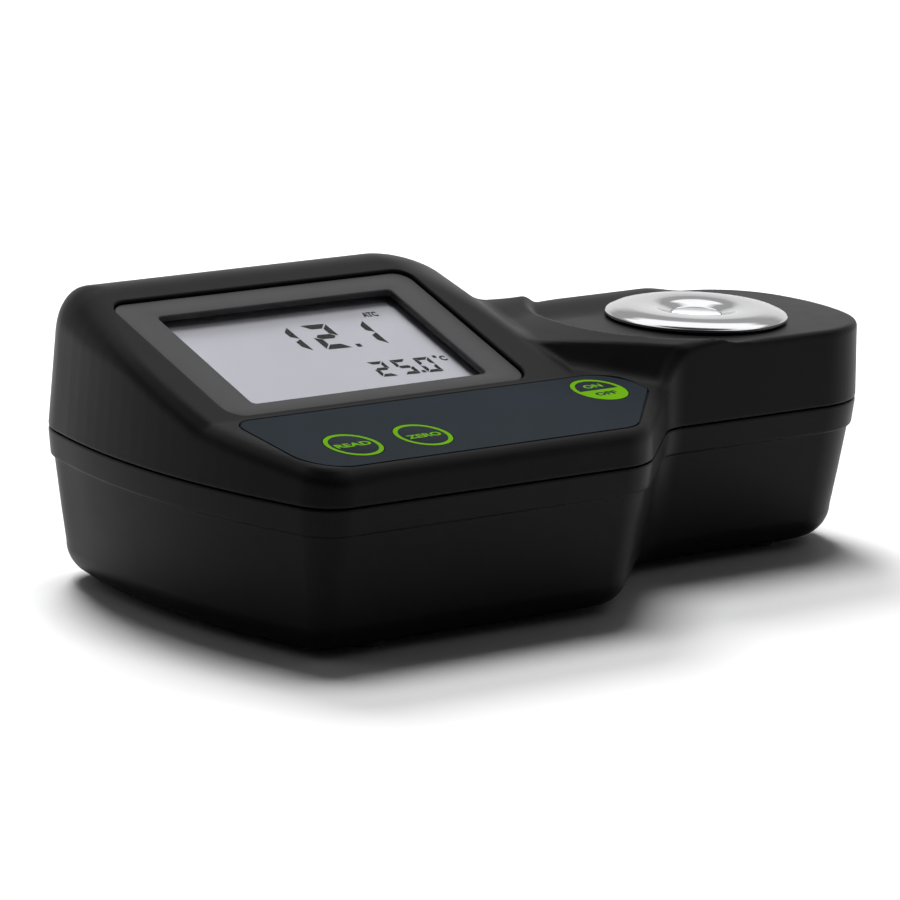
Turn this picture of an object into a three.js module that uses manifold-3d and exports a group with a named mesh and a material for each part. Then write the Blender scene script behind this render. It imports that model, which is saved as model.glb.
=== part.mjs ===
// A handheld digital refractometer, built as separate pieces that fit together.
// Millimetres, +Z up. X runs along the case: the display block is at -X, the nose with the sample
// ring is at +X, and the keys face -Y. The origin is on the table under the middle of the case.
import * as THREE from 'three';
import { mergeVertices } from 'three/addons/utils/BufferGeometryUtils.js';
import Module from 'manifold-3d';

const wasm = await Module();
wasm.setup();

// Overall sizes of the case
const bodyLength = 192;
const bodyWidth = 104;
const noseWidth = 53.6;
const partingHeight = 33.8;
const plateauHeight = 51.3;
const footHeight = 1.2;

// Clearance between pieces that touch, overrun of a cut, and wall thicknesses
const gap = 0.3;
const overrun = 1;
const shellWall = 2.4;
const roofThickness = 2.6;
const bossWall = 1.3;

// Plan outline: where its straight sides would meet, the radii there and the leans of the ends
const leftEndRadius = 150;
const leftEndLean = THREE.MathUtils.degToRad(14);
const blockCornerRadius = 9.5;
const blockBackRadius = 18;
const blockLength = 96.6;
const shoulderRadius = 16;
const shoulderAngle = THREE.MathUtils.degToRad(42.7);
const waistRadius = 12;
const noseCornerRadius = 20;
const tipRadius = 45;
const tipLean = THREE.MathUtils.degToRad(15);
const leastCornerRadius = 3;
const leftEndSlack = 1;

// Side walls
const edgeChamfer = 0.4;
const bandHeight = 6.1;
const bandDraft = 0.6;
const bandStep = 1.5;
const bowlDraft = 3;
const baseRadius = 7.5;
const upperDraft = 1.8;
const upperReach = 36;

// Key panel, display face, and the saddle between them and the nose
const panelTilt = THREE.MathUtils.degToRad(8.1);
const panelFrontHeight = 41.7;
const displayTilt = THREE.MathUtils.degToRad(19.8);
const panelDepth = 34;
const ridgeRadius = 14.5;
const ridgeInset = 0.5;
const flank = { past: 6.7, fallX: 0.65, riseY: 0.28 };
const saddle = { past: 7.4, length: 30, height: 51.6, rise: 1.8, crestIn: 3.8, footOut: 3.2 };
const saddleShares = [
  { along: 0, foot: 0, lift: 0, crest: 0 },
  { along: 0.16, foot: 0.02, lift: 0, crest: 0.16 },
  { along: 0.34, foot: 0.08, lift: 0, crest: 0.27 },
  { along: 0.47, foot: 0.75, lift: 0, crest: 0.37 },
  { along: 0.6, foot: 1, lift: 0.45, crest: 0.5 },
  { along: 0.79, foot: 1, lift: 0.95, crest: 0.7 },
  { along: 1, foot: 1, lift: 1, crest: 1 },
];
const plateau = { behind: 7.2, y: 3.3, radius: 29.8 };

// Display stack, from the bezel down to the main board
const bezel = { length: 81.2, width: 47.4, radius: 4, fromEnd: 51.8, fromPanel: 1.8, sink: 1.2, thickness: 1 };
const view = { length: 64, width: 36.6, radius: 1.2, shiftX: 0.2, shiftY: -0.9 };
const windowThickness = 1;
const cell = { length: 70, width: 41, thickness: 2.6 };
const trayWall = 1.6;
const holder = { wall: 1.4, thickness: 3, ledge: 4.2 };
const contact = { length: 62, width: 2.4, height: 3 };
const mainBoard = { length: 86, width: 48, thickness: 1.6 };
const processor = { side: 14, thickness: 1.6 };
const leadSocket = { length: 8, width: 5.5, height: 4, x: 24, y: 4 };

// Key stack
const overlay = { thickness: 0.4, fromEnd: 9, fromFront: 3.2, fromDisplay: 0.8, beforeShoulder: 1.2,
  pastShoulder: 17.4, tipFromFront: 21.6 };
const overlayRadius = { backLeft: 4.5, frontLeft: 10, shoulder: 9, tip: 2.2, backRight: 9.5 };
const key = { radius: 6.5, thickness: 1, travel: 0.25, plunger: 2, round: 0.25 };
const readKey = { fromEnd: 25.9, fromFront: 13.6 };
const zeroKey = { fromEnd: 44.7, fromFront: 13.8 };
const powerKey = { pastShoulder: 6.1, fromFront: 24.7 };
const dome = { radius: 3, height: 0.8, sheet: 0.25 };
const keyBoard = { fromEnd: 22.6, fromFront: 7, fromDisplay: 2, pastShoulder: 11.4, neckPastShoulder: 2.9,
  tongueFromFront: 17.5, drop: 5.6, thickness: 1.6 };

// Screws: shank and head radii, head height and driver socket
const boardScrew = { shank: 1.1, head: 2.1, headHeight: 1.3, socket: 0.6, grip: 3.6 };
const caseScrew = { shank: 1.5, head: 2.6, headHeight: 1.8, socket: 0.9, grip: 8, seat: 6 };
const ringScrew = { shank: 1.2, head: 2.2, headHeight: 1.4, socket: 0.7, grip: 3.6 };
const keyScrew = { fromEnd: 35.3, fromFront: 25, grip: 2.6 };
const farKeyScrew = { fromEnd: 82, fromFront: 14 };

// Sample ring and the optics under it
const ring = { fromTip: 37.5, radius: 20.6, edge: 1.1, crest: 3.3, spigot: 13.4, spigotDepth: 5.2, bore: 8.4 };
const ringDomeShares = [
  { radius: 1, height: 0.36 },
  { radius: 0.985, height: 0.47 },
  { radius: 0.95, height: 0.6 },
  { radius: 0.88, height: 0.8 },
  { radius: 0.78, height: 0.95 },
  { radius: 0.68, height: 1 },
  { radius: 0.59, height: 0.95 },
  { radius: 0.51, height: 0.84 },
  { radius: 0.44, height: 0.7 },
  { radius: 0.385, height: 0.6 },
];
const ringWindow = { radius: 5.7, top: 1.75, depth: 1.5 };
const ringSeal = { radius: 16.9, thickness: 1.2, room: 0.45 };
const prism = { top: 11, base: 5, height: 8, depth: 11 };
const optics = { half: 15, shoulder: 13, foot: 5, halfDepth: 7.6, flange: 17.5, flangeThickness: 3 };
const boltCircle = 10.9;
const lamp = { radius: 2.5, length: 6.2, flange: 3.2, flangeThickness: 0.8 };
const lens = { radius: 3.1, thickness: 2.4, depth: 4.8, rim: 0.7 };
const sensorBoard = { length: 12.4, width: 14, thickness: 1.2, screwY: 5.2 };
const sensorChip = { length: 4.6, width: 3.6, thickness: 1.5 };
const sensorScrew = { shank: 0.8, head: 1.5, headHeight: 0.9, socket: 0.4, grip: 3 };
const thermistor = { radius: 1.1, length: 6, angle: THREE.MathUtils.degToRad(120), bite: 1.7 };
const sensorCableRadius = 0.9;
const ribbon = { width: 12, thickness: 0.4, tab: 4, slack: 1.4, fromEnd: 66 };

// Battery bay and its bayonet cover
const bayFromEnd = 53;
const cover = { flange: 34, thickness: 1.8, neck: 28.1, neckWall: 2.4, floor: 2 };
const coverSlot = { length: 24, width: 3, depth: 1 };
const coverSeal = { radius: 32.6, thickness: 0.9, room: 0.3 };
const lug = { count: 3, reach: 2.9, height: 1.4, width: THREE.MathUtils.degToRad(17),
  turn: THREE.MathUtils.degToRad(40), play: THREE.MathUtils.degToRad(2.5) };
const lipThickness = 2.4;
const bay = { radius: 31.6, wall: 1.6 };
const battery = { length: 46.4, width: 26.5, height: 17.5, round: 2, shift: -4.4 };
const terminal = { radius: 3.2, length: 2.1, y: 6.35 };
const snap = { thickness: 5.6, width: 20, height: 13 };
const padRadius = 22;
const leadRadius = 0.8;

// Feet and case screws
const foot = { radius: 5, sink: 0.6, round: 0.3, fromEnd: 32, fromSide: 16.5, fromTip: 26, noseY: 9.5 };
const caseScrewPlace = { fromEnd: 18.2, fromSide: 15.1, fromTip: 16, noseY: 9 };

// Gasket in the parting line
const gasket = { inset: 1.3, width: 0.9, groove: 1 };

// Segments of round shapes
const fine = 40;
const medium = 20;
const coarse = 10;
const arcSteps = 4;
const ridgeSteps = 8;

// Places that follow from the overall sizes, from the ends and the sides of the case
const blockEnd = -bodyLength / 2;
const tipEnd = bodyLength / 2;
const frontSide = -bodyWidth / 2;
const shoulderX = blockEnd + blockLength;
const panelBackY = frontSide + panelDepth;
const ridgeBackY = bodyWidth / 2 - ridgeInset;
const ringX = tipEnd - ring.fromTip;
const keyPlaces = [
  { name: 'read', x: blockEnd + readKey.fromEnd, y: frontSide + readKey.fromFront },
  { name: 'zero', x: blockEnd + zeroKey.fromEnd, y: frontSide + zeroKey.fromFront },
  { name: 'power', x: shoulderX + powerKey.pastShoulder, y: frontSide + powerKey.fromFront },
];
const keyScrewPlaces = [keyScrew, farKeyScrew]
  .map(({ fromEnd, fromFront }) => [blockEnd + fromEnd, frontSide + fromFront]);
const inCorners = ({ fromEnd, fromSide, fromTip, noseY }) => [
  [blockEnd + fromEnd, frontSide + fromSide],
  [blockEnd + fromEnd, -frontSide - fromSide],
  [tipEnd - fromTip, -noseY],
  [tipEnd - fromTip, noseY],
];
const footPlaces = inCorners(foot);
const screwPlaces = inCorners(caseScrewPlace);

// Heights that follow from the sizes above
const upperFoot = partingHeight + gap;
const panelHeight = (y) => panelFrontHeight + Math.tan(panelTilt) * (y - frontSide);
const displayHeight = (y) => panelHeight(panelBackY) + Math.tan(displayTilt) * (y - panelBackY);
const windowTop = -(bezel.sink + bezel.thickness + gap);
const trayFloor = windowTop - windowThickness - gap;
const trayFoot = trayFloor - trayWall;
const cellFoot = trayFloor - cell.thickness;
const holderFoot = cellFoot - gap - holder.thickness;
const boardTop = holderFoot - gap;
const boardFoot = boardTop - mainBoard.thickness;
const keySeat = -(key.thickness + key.travel + gap);
const domeFoot = gap - keyBoard.drop;
const plungerFoot = domeFoot + dome.height + gap;
const ringFoot = -ring.spigotDepth;
const prismTop = -(ringWindow.depth + gap);
const flangeTop = ringFoot - gap;
const flangeFoot = flangeTop - optics.flangeThickness;
const opticsFoot = -(optics.shoulder + optics.half - optics.foot);
const lipFoot = cover.thickness + gap;
const lipTop = lipFoot + lipThickness;
const lugFoot = lipTop + gap;
const lugTop = lugFoot + lug.height;
const batteryFoot = lugTop + gap;
const bayRoof = batteryFoot + battery.height + gap;

// Places that follow from the sizes above
const holderLength = cell.length + (gap + holder.wall) * 2;
const holderWidth = cell.width + (gap + holder.wall) * 2;
const postRadius = boardScrew.shank + gap + bossWall;
const boardPostX = holderLength / 2 + view.shiftX + gap + postRadius;
const boardPostY = mainBoard.width / 2 - postRadius - gap;
const prismFoot = prismTop - prism.height;
const terminalX = battery.shift + battery.length / 2;
const snapX = terminalX + terminal.length + gap + snap.thickness / 2;

// Solids and geometry
function toSolid(geometry) {
  const plain = geometry.clone();
  plain.deleteAttribute('normal');
  plain.deleteAttribute('uv');
  const merged = mergeVertices(plain, 1e-5);
  return new wasm.Manifold(new wasm.Mesh({
    numProp: 3,
    vertProperties: new Float32Array(merged.attributes.position.array),
    triVerts: new Uint32Array(merged.index.array),
  }));
}

function toGeometry(solid) {
  const mesh = solid.getMesh();
  const geometry = new THREE.BufferGeometry();
  geometry.setAttribute('position', new THREE.BufferAttribute(new Float32Array(mesh.vertProperties), 3));
  geometry.setIndex(new THREE.BufferAttribute(new Uint32Array(mesh.triVerts), 1));
  const faceted = geometry.toNonIndexed();
  faceted.computeVertexNormals();
  return faceted;
}

const joined = (solids) => solids.reduce((sum, solid) => sum.add(solid));
const cutBy = (solid, cutters) => cutters.reduce((rest, cutter) => rest.subtract(cutter), solid);

// A polygon that runs counter-clockwise, with a radius at each corner and its sides moved inwards
function roundedPolygon(corners, inset) {
  const sides = corners.map((corner, i) => {
    const next = corners[(i + 1) % corners.length];
    const along = new THREE.Vector2(next.x - corner.x, next.y - corner.y).normalize();
    return { along, x: corner.x - along.y * inset, y: corner.y + along.x * inset };
  });
  return corners.flatMap((corner, i) => {
    const before = sides.at(i - 1);
    const after = sides[i];
    const cross = before.along.cross(after.along);
    const turn = Math.atan2(cross, before.along.dot(after.along));
    const reach = ((after.x - before.x) * after.along.y - (after.y - before.y) * after.along.x) / cross;
    const radius = Math.max(corner.radius - Math.sign(turn) * inset, corner.least ?? 0);
    const run = reach - radius * Math.tan(Math.abs(turn) / 2);
    const start = new THREE.Vector2(before.x, before.y).addScaledVector(before.along, run);
    const inwards = new THREE.Vector2(-before.along.y, before.along.x);
    const centre = start.clone().addScaledVector(inwards, Math.sign(turn) * radius);
    return Array.from({ length: arcSteps + 1 },
      (_, k) => start.clone().rotateAround(centre, turn * k / arcSteps));
  });
}

// The case outline from the middle of the left end, round the front to the tip and back
function caseOutline(inset) {
  const cornerReach = Math.max(blockCornerRadius, blockBackRadius) * Math.tan(Math.PI / 4 - leftEndLean / 2);
  const sideReach = bodyWidth / 2 / Math.cos(leftEndLean) - cornerReach - leftEndSlack;
  const endRadius = Math.min(leftEndRadius, sideReach / Math.tan(leftEndLean));
  const leftX = blockEnd - endRadius * (1 / Math.cos(leftEndLean) - 1);
  const tipX = tipEnd + tipRadius * (1 / Math.cos(tipLean) - 1);
  const blockX = leftX + bodyWidth / 2 * Math.tan(leftEndLean);
  const waistX = shoulderX + (bodyWidth - noseWidth) / 2 / Math.tan(shoulderAngle);
  const noseX = tipX - noseWidth / 2 * Math.tan(tipLean);
  const least = leastCornerRadius;
  const front = [
    { x: blockX, y: -bodyWidth / 2, radius: blockCornerRadius, least },
    { x: shoulderX, y: -bodyWidth / 2, radius: shoulderRadius, least },
    { x: waistX, y: -noseWidth / 2, radius: waistRadius, least },
    { x: noseX, y: -noseWidth / 2, radius: noseCornerRadius, least },
  ];
  const back = front.map((corner) => ({ ...corner, y: -corner.y })).reverse();
  back.at(-1).radius = blockBackRadius;
  const ends = [{ x: leftX, y: 0, radius: endRadius }, { x: tipX, y: 0, radius: tipRadius }];
  return roundedPolygon([ends[0], ...front, ends[1], ...back], inset);
}

// A closed body through rings of equally many points, with flat ends; u and v span the end faces
function skin(rings) {
  const size = rings[0].length;
  const index = [];
  for (let r = 0; r < rings.length - 1; r += 1) {
    for (let i = 0; i < size; i += 1) {
      const a = r * size + i;
      const b = r * size + (i + 1) % size;
      index.push(a, b, b + size, a, b + size, a + size);
    }
  }
  const last = (rings.length - 1) * size;
  const flat = (points) => points.map(({ u, v }) => new THREE.Vector2(u, v));
  THREE.ShapeUtils.triangulateShape(flat(rings[0]), []).forEach(([a, b, c]) => index.push(a, c, b));
  THREE.ShapeUtils.triangulateShape(flat(rings.at(-1)), [])
    .forEach(([a, b, c]) => index.push(last + a, last + b, last + c));
  const geometry = new THREE.BufferGeometry();
  const places = rings.flat().flatMap(({ x, y, z }) => [x, y, z]);
  geometry.setAttribute('position', new THREE.Float32BufferAttribute(places, 3));
  geometry.setIndex(index);
  return geometry;
}

const loft = (levels) => toSolid(skin(levels.map(({ inset, z }) => caseOutline(inset)
  .map(({ x, y }) => ({ x, y, z, u: x, v: y })))));

const sectionLoft = (sections) => toSolid(skin(sections.map(({ x, points }) => points
  .map(([y, z]) => ({ x, y, z, u: y, v: z })))));

// Plain shapes, standing on z = 0
function bar(radius, height, segments = medium) {
  const geometry = new THREE.CylinderGeometry(radius, radius, height, segments);
  geometry.rotateX(Math.PI / 2);
  geometry.translate(0, 0, height / 2);
  return geometry;
}

function block(length, width, height) {
  const geometry = new THREE.BoxGeometry(length, width, height);
  geometry.translate(0, 0, height / 2);
  return geometry;
}

const extruded = (points, depth) => new THREE.ExtrudeGeometry(new THREE.Shape(points),
  { depth, bevelEnabled: false });

function plate(length, width, height, radius) {
  const x = length / 2;
  const y = width / 2;
  const corners = [{ x: -x, y: -y }, { x, y: -y }, { x, y }, { x: -x, y }];
  return extruded(roundedPolygon(corners.map((corner) => ({ ...corner, radius })), 0), height);
}

// A turned shape from a profile of radius and height that runs counter-clockwise
function turned(profile, segments = medium) {
  const points = profile.map(([radius, z]) => new THREE.Vector2(radius, z));
  const geometry = new THREE.LatheGeometry(points, segments);
  geometry.rotateX(Math.PI / 2);
  return geometry;
}

const oRing = (radius, thickness) => new THREE.TorusGeometry(radius, thickness / 2, 6, fine);

// A prism along X from points of y and z that run counter-clockwise
function prismAlongX(shape, depth, curveSegments = ridgeSteps) {
  const geometry = new THREE.ExtrudeGeometry(shape, { depth, bevelEnabled: false, curveSegments });
  geometry.rotateX(Math.PI / 2);
  geometry.rotateZ(Math.PI / 2);
  geometry.translate(-depth / 2, 0, 0);
  return geometry;
}

// A prism along Y from points of x and z that run counter-clockwise
function prismAlongY(points, depth) {
  const geometry = extruded(points.map(([x, z]) => new THREE.Vector2(x, z)), depth);
  geometry.rotateX(Math.PI / 2);
  geometry.translate(0, depth / 2, 0);
  return geometry;
}

// A piece of a ring between two angles, standing on z = 0
function ringSector(inner, outer, from, to, height) {
  const shape = new THREE.Shape();
  shape.absarc(0, 0, outer, from, to, false);
  shape.absarc(0, 0, inner, to, from, true);
  return new THREE.ExtrudeGeometry(shape, { depth: height, bevelEnabled: false, curveSegments: arcSteps });
}

const moved = (geometry, x, y, z) => {
  geometry.translate(x, y, z);
  return geometry;
};

// A screw with its head's seat at z = 0 and its shank up
function screw({ shank, head, headHeight, socket }, length) {
  return turned([[0, -headHeight / 2], [socket, -headHeight / 2], [socket, -headHeight],
    [head, -headHeight], [head, 0], [shank, 0], [shank, length - shank / 2], [shank / 2, length],
    [0, length]], coarse);
}

// A cord along a smooth line through points
function cord(points, radius) {
  const sides = 8;
  const curve = new THREE.CatmullRomCurve3(points.map(([x, y, z]) => new THREE.Vector3(x, y, z)));
  const circle = new THREE.Shape(Array.from({ length: sides }, (_, i) => {
    const angle = i / sides * Math.PI * 2;
    return new THREE.Vector2(radius * Math.cos(angle), radius * Math.sin(angle));
  }));
  const steps = Math.ceil(curve.getLength() / (radius * 5));
  return new THREE.ExtrudeGeometry(circle, { extrudePath: curve, steps, bevelEnabled: false });
}

// The places that carry the pieces
const device = new THREE.Group();

function frameIn(parent, x, y, z) {
  const frame = new THREE.Group();
  frame.position.set(x, y, z);
  parent.add(frame);
  frame.updateWorldMatrix(true, false);
  return frame;
}

function tilted(frame, axis, angle) {
  frame.rotation[axis] = angle;
  frame.updateWorldMatrix(true, false);
  return frame;
}

const bezelX = blockEnd + bezel.fromEnd;
const bezelY = panelBackY + bezel.fromPanel + bezel.width / 2 * Math.cos(displayTilt);
const displayFrame = tilted(frameIn(device, bezelX, bezelY, displayHeight(bezelY)), 'x', displayTilt);
const panelFrame = tilted(frameIn(device, 0, 0, panelHeight(0)), 'x', panelTilt);
const ringFrame = frameIn(device, ringX, 0, plateauHeight);
const faceX = (optics.half + optics.foot) / 2;
const faceZ = (opticsFoot - optics.shoulder) / 2;
const lampFrame = tilted(frameIn(ringFrame, -faceX, 0, faceZ), 'y', Math.PI / 4);
const sensorFrame = tilted(frameIn(ringFrame, faceX, 0, faceZ), 'y', -Math.PI / 4);
const baseFrame = frameIn(device, 0, 0, footHeight);
const bayFrame = frameIn(baseFrame, blockEnd + bayFromEnd, 0, 0);

const placed = (frame, geometry) => toSolid(geometry.clone().applyMatrix4(frame.matrixWorld));
const onPanel = (y) => y / Math.cos(panelTilt);

function material(name, color, roughness, metalness = 0) {
  return new THREE.MeshStandardMaterial({ name, color, roughness, metalness });
}

function clearMaterial(name, color, roughness, opacity) {
  return new THREE.MeshStandardMaterial({ name, color, roughness, transparent: true, opacity });
}

const casePlastic = material('case_plastic', 0x1d1d1e, 0.5);
const bezelPlastic = material('bezel_plastic', 0x262627, 0.42);
const overlayFilm = material('overlay_film', 0x2d3236, 0.55);
const keyPlastic = material('key_plastic', 0x7bbf14, 0.5);
const clearPlastic = clearMaterial('clear_plastic', 0xdfe3ea, 0.05, 0.3);
const cellGlass = material('cell_glass', 0xb9b9c4, 0.35);
const polishedSteel = material('polished_steel', 0xd8d8d8, 0.08, 1);
const prismGlass = clearMaterial('prism_glass', 0xf2f4f6, 0.02, 0.5);
const blackRubber = material('black_rubber', 0x161616, 0.85);
const boardLaminate = material('board_laminate', 0x1c5a35, 0.6);
const chipResin = material('chip_resin', 0x141414, 0.55);
const innerPlastic = material('inner_plastic', 0x2a2a2b, 0.7);
const springSteel = material('spring_steel', 0xa9a9a6, 0.35, 1);
const lampEpoxy = material('lamp_epoxy', 0xe8b62c, 0.2);
const batteryJacket = material('battery_jacket', 0x3c4046, 0.35, 0.2);
const foamPad = material('foam_pad', 0x33343a, 0.95);
const cordSheath = material('cord_sheath', 0x4a4a4a, 0.6);

function put(frame, name, geometry, finish) {
  const mesh = new THREE.Mesh(geometry, finish);
  mesh.name = name;
  frame.add(mesh);
  return mesh;
}

// Bottom shell: a bowl with a rolled base edge, a band at its rim, posts and the battery bay
function bowl(extra) {
  const radius = baseRadius - extra;
  const roundInset = bandStep + bowlDraft + baseRadius;
  const levels = Array.from({ length: arcSteps }, (_, k) => {
    const angle = k / (arcSteps - 1) * Math.PI / 2;
    const z = footHeight + baseRadius - radius * Math.cos(angle);
    return { inset: roundInset - radius * Math.sin(angle), z };
  });
  const bandFoot = partingHeight - bandHeight;
  levels.push({ inset: bandStep + extra, z: bandFoot });
  if (extra) {
    levels.push({ inset: bandStep + extra, z: partingHeight + overrun });
    return loft(levels);
  }
  levels.push({ inset: bandDraft, z: bandFoot + edgeChamfer });
  levels.push({ inset: 0, z: partingHeight - edgeChamfer });
  levels.push({ inset: edgeChamfer, z: partingHeight });
  return loft(levels);
}

const gasketGroove = (from, to) => loft([{ inset: gasket.inset - gap, z: from },
  { inset: gasket.inset - gap, z: to }]).subtract(loft([
  { inset: gasket.inset + gasket.width + gap, z: from - overrun },
  { inset: gasket.inset + gasket.width + gap, z: to + overrun }]));

const lugAngles = Array.from({ length: lug.count }, (_, i) => i / lug.count * Math.PI * 2);
const lugOuter = cover.neck + lug.reach;

function makeBottomShell() {
  const outside = bowl(0);
  const columnRadius = caseScrew.head + gap + bossWall;
  const postHeight = partingHeight - footHeight;
  const posts = screwPlaces.map(([x, y]) => placed(baseFrame, moved(bar(columnRadius, postHeight), x, y, 0)));
  const bayOuter = bay.radius + bay.wall;
  const bayBody = [
    placed(bayFrame, bar(cover.flange + gap + bossWall, lipTop, fine)),
    placed(bayFrame, bar(bayOuter, bayRoof + bay.wall, fine)),
  ];
  const added = joined([...posts, ...bayBody]).intersect(outside);
  const screwCuts = screwPlaces.flatMap(([x, y]) => [
    moved(bar(caseScrew.head + gap, caseScrew.seat + overrun, coarse), x, y, -overrun),
    moved(bar(caseScrew.shank + gap, postHeight + overrun, coarse), x, y, 0),
  ]);
  const footCuts = footPlaces.map(([x, y]) => moved(
    bar(foot.radius + gap, foot.sink + overrun), x, y, -overrun));
  const bayCuts = [
    moved(bar(bay.radius, bayRoof - lipTop, fine), 0, 0, lipTop),
    moved(bar(cover.neck + gap, lipTop + overrun, fine), 0, 0, 0),
    moved(bar(cover.flange + gap, lipFoot + overrun, fine), 0, 0, -overrun),
    moved(bar(leadRadius + gap, bay.wall + overrun, coarse), snapX, 0, bayRoof - overrun / 2),
    ...lugAngles.map((angle) => {
      const half = lug.width / 2 + lug.play;
      const middle = angle - lug.turn;
      const notch = ringSector(cover.neck, lugOuter + gap, middle - half, middle + half, lipTop);
      return moved(notch, 0, 0, overrun);
    }),
  ];
  return cutBy(outside.subtract(bowl(shellWall)).add(added), [
    ...[...screwCuts, ...footCuts].map((cut) => placed(baseFrame, cut)),
    ...bayCuts.map((cut) => placed(bayFrame, cut)),
    gasketGroove(partingHeight - gasket.groove, partingHeight + overrun),
  ]);
}

// Top shell: walls cut off by the panels on top, with a roof that follows them
function upperWall(extra) {
  const top = { inset: extra + upperDraft, z: upperFoot + upperReach };
  if (extra) {
    return loft([{ inset: extra, z: upperFoot - overrun }, top]);
  }
  return loft([{ inset: edgeChamfer, z: upperFoot }, { inset: 0, z: upperFoot + edgeChamfer }, top]);
}

function saddleForm() {
  const side = bodyWidth;
  const crestEnd = -noseWidth / 2 + saddle.crestIn;
  const footEnd = -noseWidth / 2 - saddle.footOut;
  const crestStart = panelBackY + (saddle.height - panelHeight(panelBackY)) / Math.tan(displayTilt);
  const section = (x, { along, foot: footShare, lift, crest }) => {
    const top = saddle.height + saddle.rise * Math.min(along * 1.5, 1);
    const footY = THREE.MathUtils.lerp(panelBackY, footEnd, footShare);
    const footZ = THREE.MathUtils.lerp(panelHeight(footY), top, lift);
    const frontZ = THREE.MathUtils.lerp(panelHeight(-side), top, lift);
    const crestY = THREE.MathUtils.lerp(crestStart, crestEnd, crest);
    const surface = [[side, top], [crestY, top], [footY, footZ], [-side, frontZ]];
    return { x, points: [[-side, 0], [side, 0], ...surface] };
  };
  const placeOf = ({ along }) => shoulderX + saddle.past + saddle.length * along;
  return sectionLoft([
    section(-bodyLength, saddleShares[0]),
    ...saddleShares.map((shares) => section(placeOf(shares), shares)),
    section(bodyLength, saddleShares.at(-1)),
  ]);
}

function displayForm() {
  const bezelBackY = panelBackY + bezel.fromPanel + bezel.width * Math.cos(displayTilt);
  const radius = Math.min(ridgeRadius, (ridgeBackY - bezelBackY) / (1 + Math.sin(displayTilt)));
  const ridgeY = ridgeBackY - radius;
  const ridgeZ = displayHeight(ridgeY) - radius / Math.cos(displayTilt);
  const side = bodyWidth;
  const wedge = new THREE.Shape();
  wedge.moveTo(-side, 0);
  wedge.lineTo(ridgeBackY, 0);
  wedge.absarc(ridgeY, ridgeZ, radius, 0, Math.PI / 2 + displayTilt);
  wedge.lineTo(panelBackY, displayHeight(panelBackY));
  wedge.lineTo(-side, panelHeight(-side));
  const above = block(bodyLength * 3, bodyLength * 3, bodyLength);
  const normal = new THREE.Vector3(flank.fallX, -flank.riseY, 1).normalize();
  above.applyQuaternion(new THREE.Quaternion().setFromUnitVectors(new THREE.Vector3(0, 0, 1), normal));
  above.translate(shoulderX + flank.past, 0, displayHeight(0));
  return toSolid(prismAlongX(wedge, bodyLength * 2)).subtract(toSolid(above));
}

// The plateau that carries the ring, as a slab over the nose from a height up
function plateauSlab(z) {
  const side = bodyWidth;
  const centreX = ringX - plateau.behind;
  const shape = new THREE.Shape();
  shape.moveTo(bodyLength, side);
  shape.lineTo(centreX, side);
  shape.absarc(centreX, plateau.y, plateau.radius, Math.PI / 2, Math.PI * 3 / 2, false);
  shape.lineTo(centreX, -side);
  shape.lineTo(bodyLength, -side);
  const geometry = new THREE.ExtrudeGeometry(shape,
    { depth: plateauHeight, bevelEnabled: false, curveSegments: medium });
  return toSolid(moved(geometry, 0, 0, z));
}

const overlayLeft = blockEnd + overlay.fromEnd;
const overlayRight = shoulderX + overlay.pastShoulder;
const overlayFront = frontSide + overlay.fromFront;
const overlayBack = panelBackY - overlay.fromDisplay;
const overlayOutline = (extra) => roundedPolygon([
  { x: overlayLeft, y: onPanel(overlayFront), radius: overlayRadius.frontLeft },
  { x: shoulderX - overlay.beforeShoulder, y: onPanel(overlayFront), radius: overlayRadius.shoulder },
  { x: overlayRight, y: onPanel(frontSide + overlay.tipFromFront), radius: overlayRadius.tip },
  { x: overlayRight, y: onPanel(overlayBack), radius: overlayRadius.backRight },
  { x: overlayLeft, y: onPanel(overlayBack), radius: overlayRadius.backLeft },
], -extra);

const viewCut = (extra, height) => moved(
  plate(cell.length + extra * 2, cell.width + extra * 2, height, view.radius), view.shiftX, view.shiftY, 0);
const boardPosts = [-1, 1].flatMap((x) => [-1, 1].map((y) => [x * boardPostX, y * boardPostY]));

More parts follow.
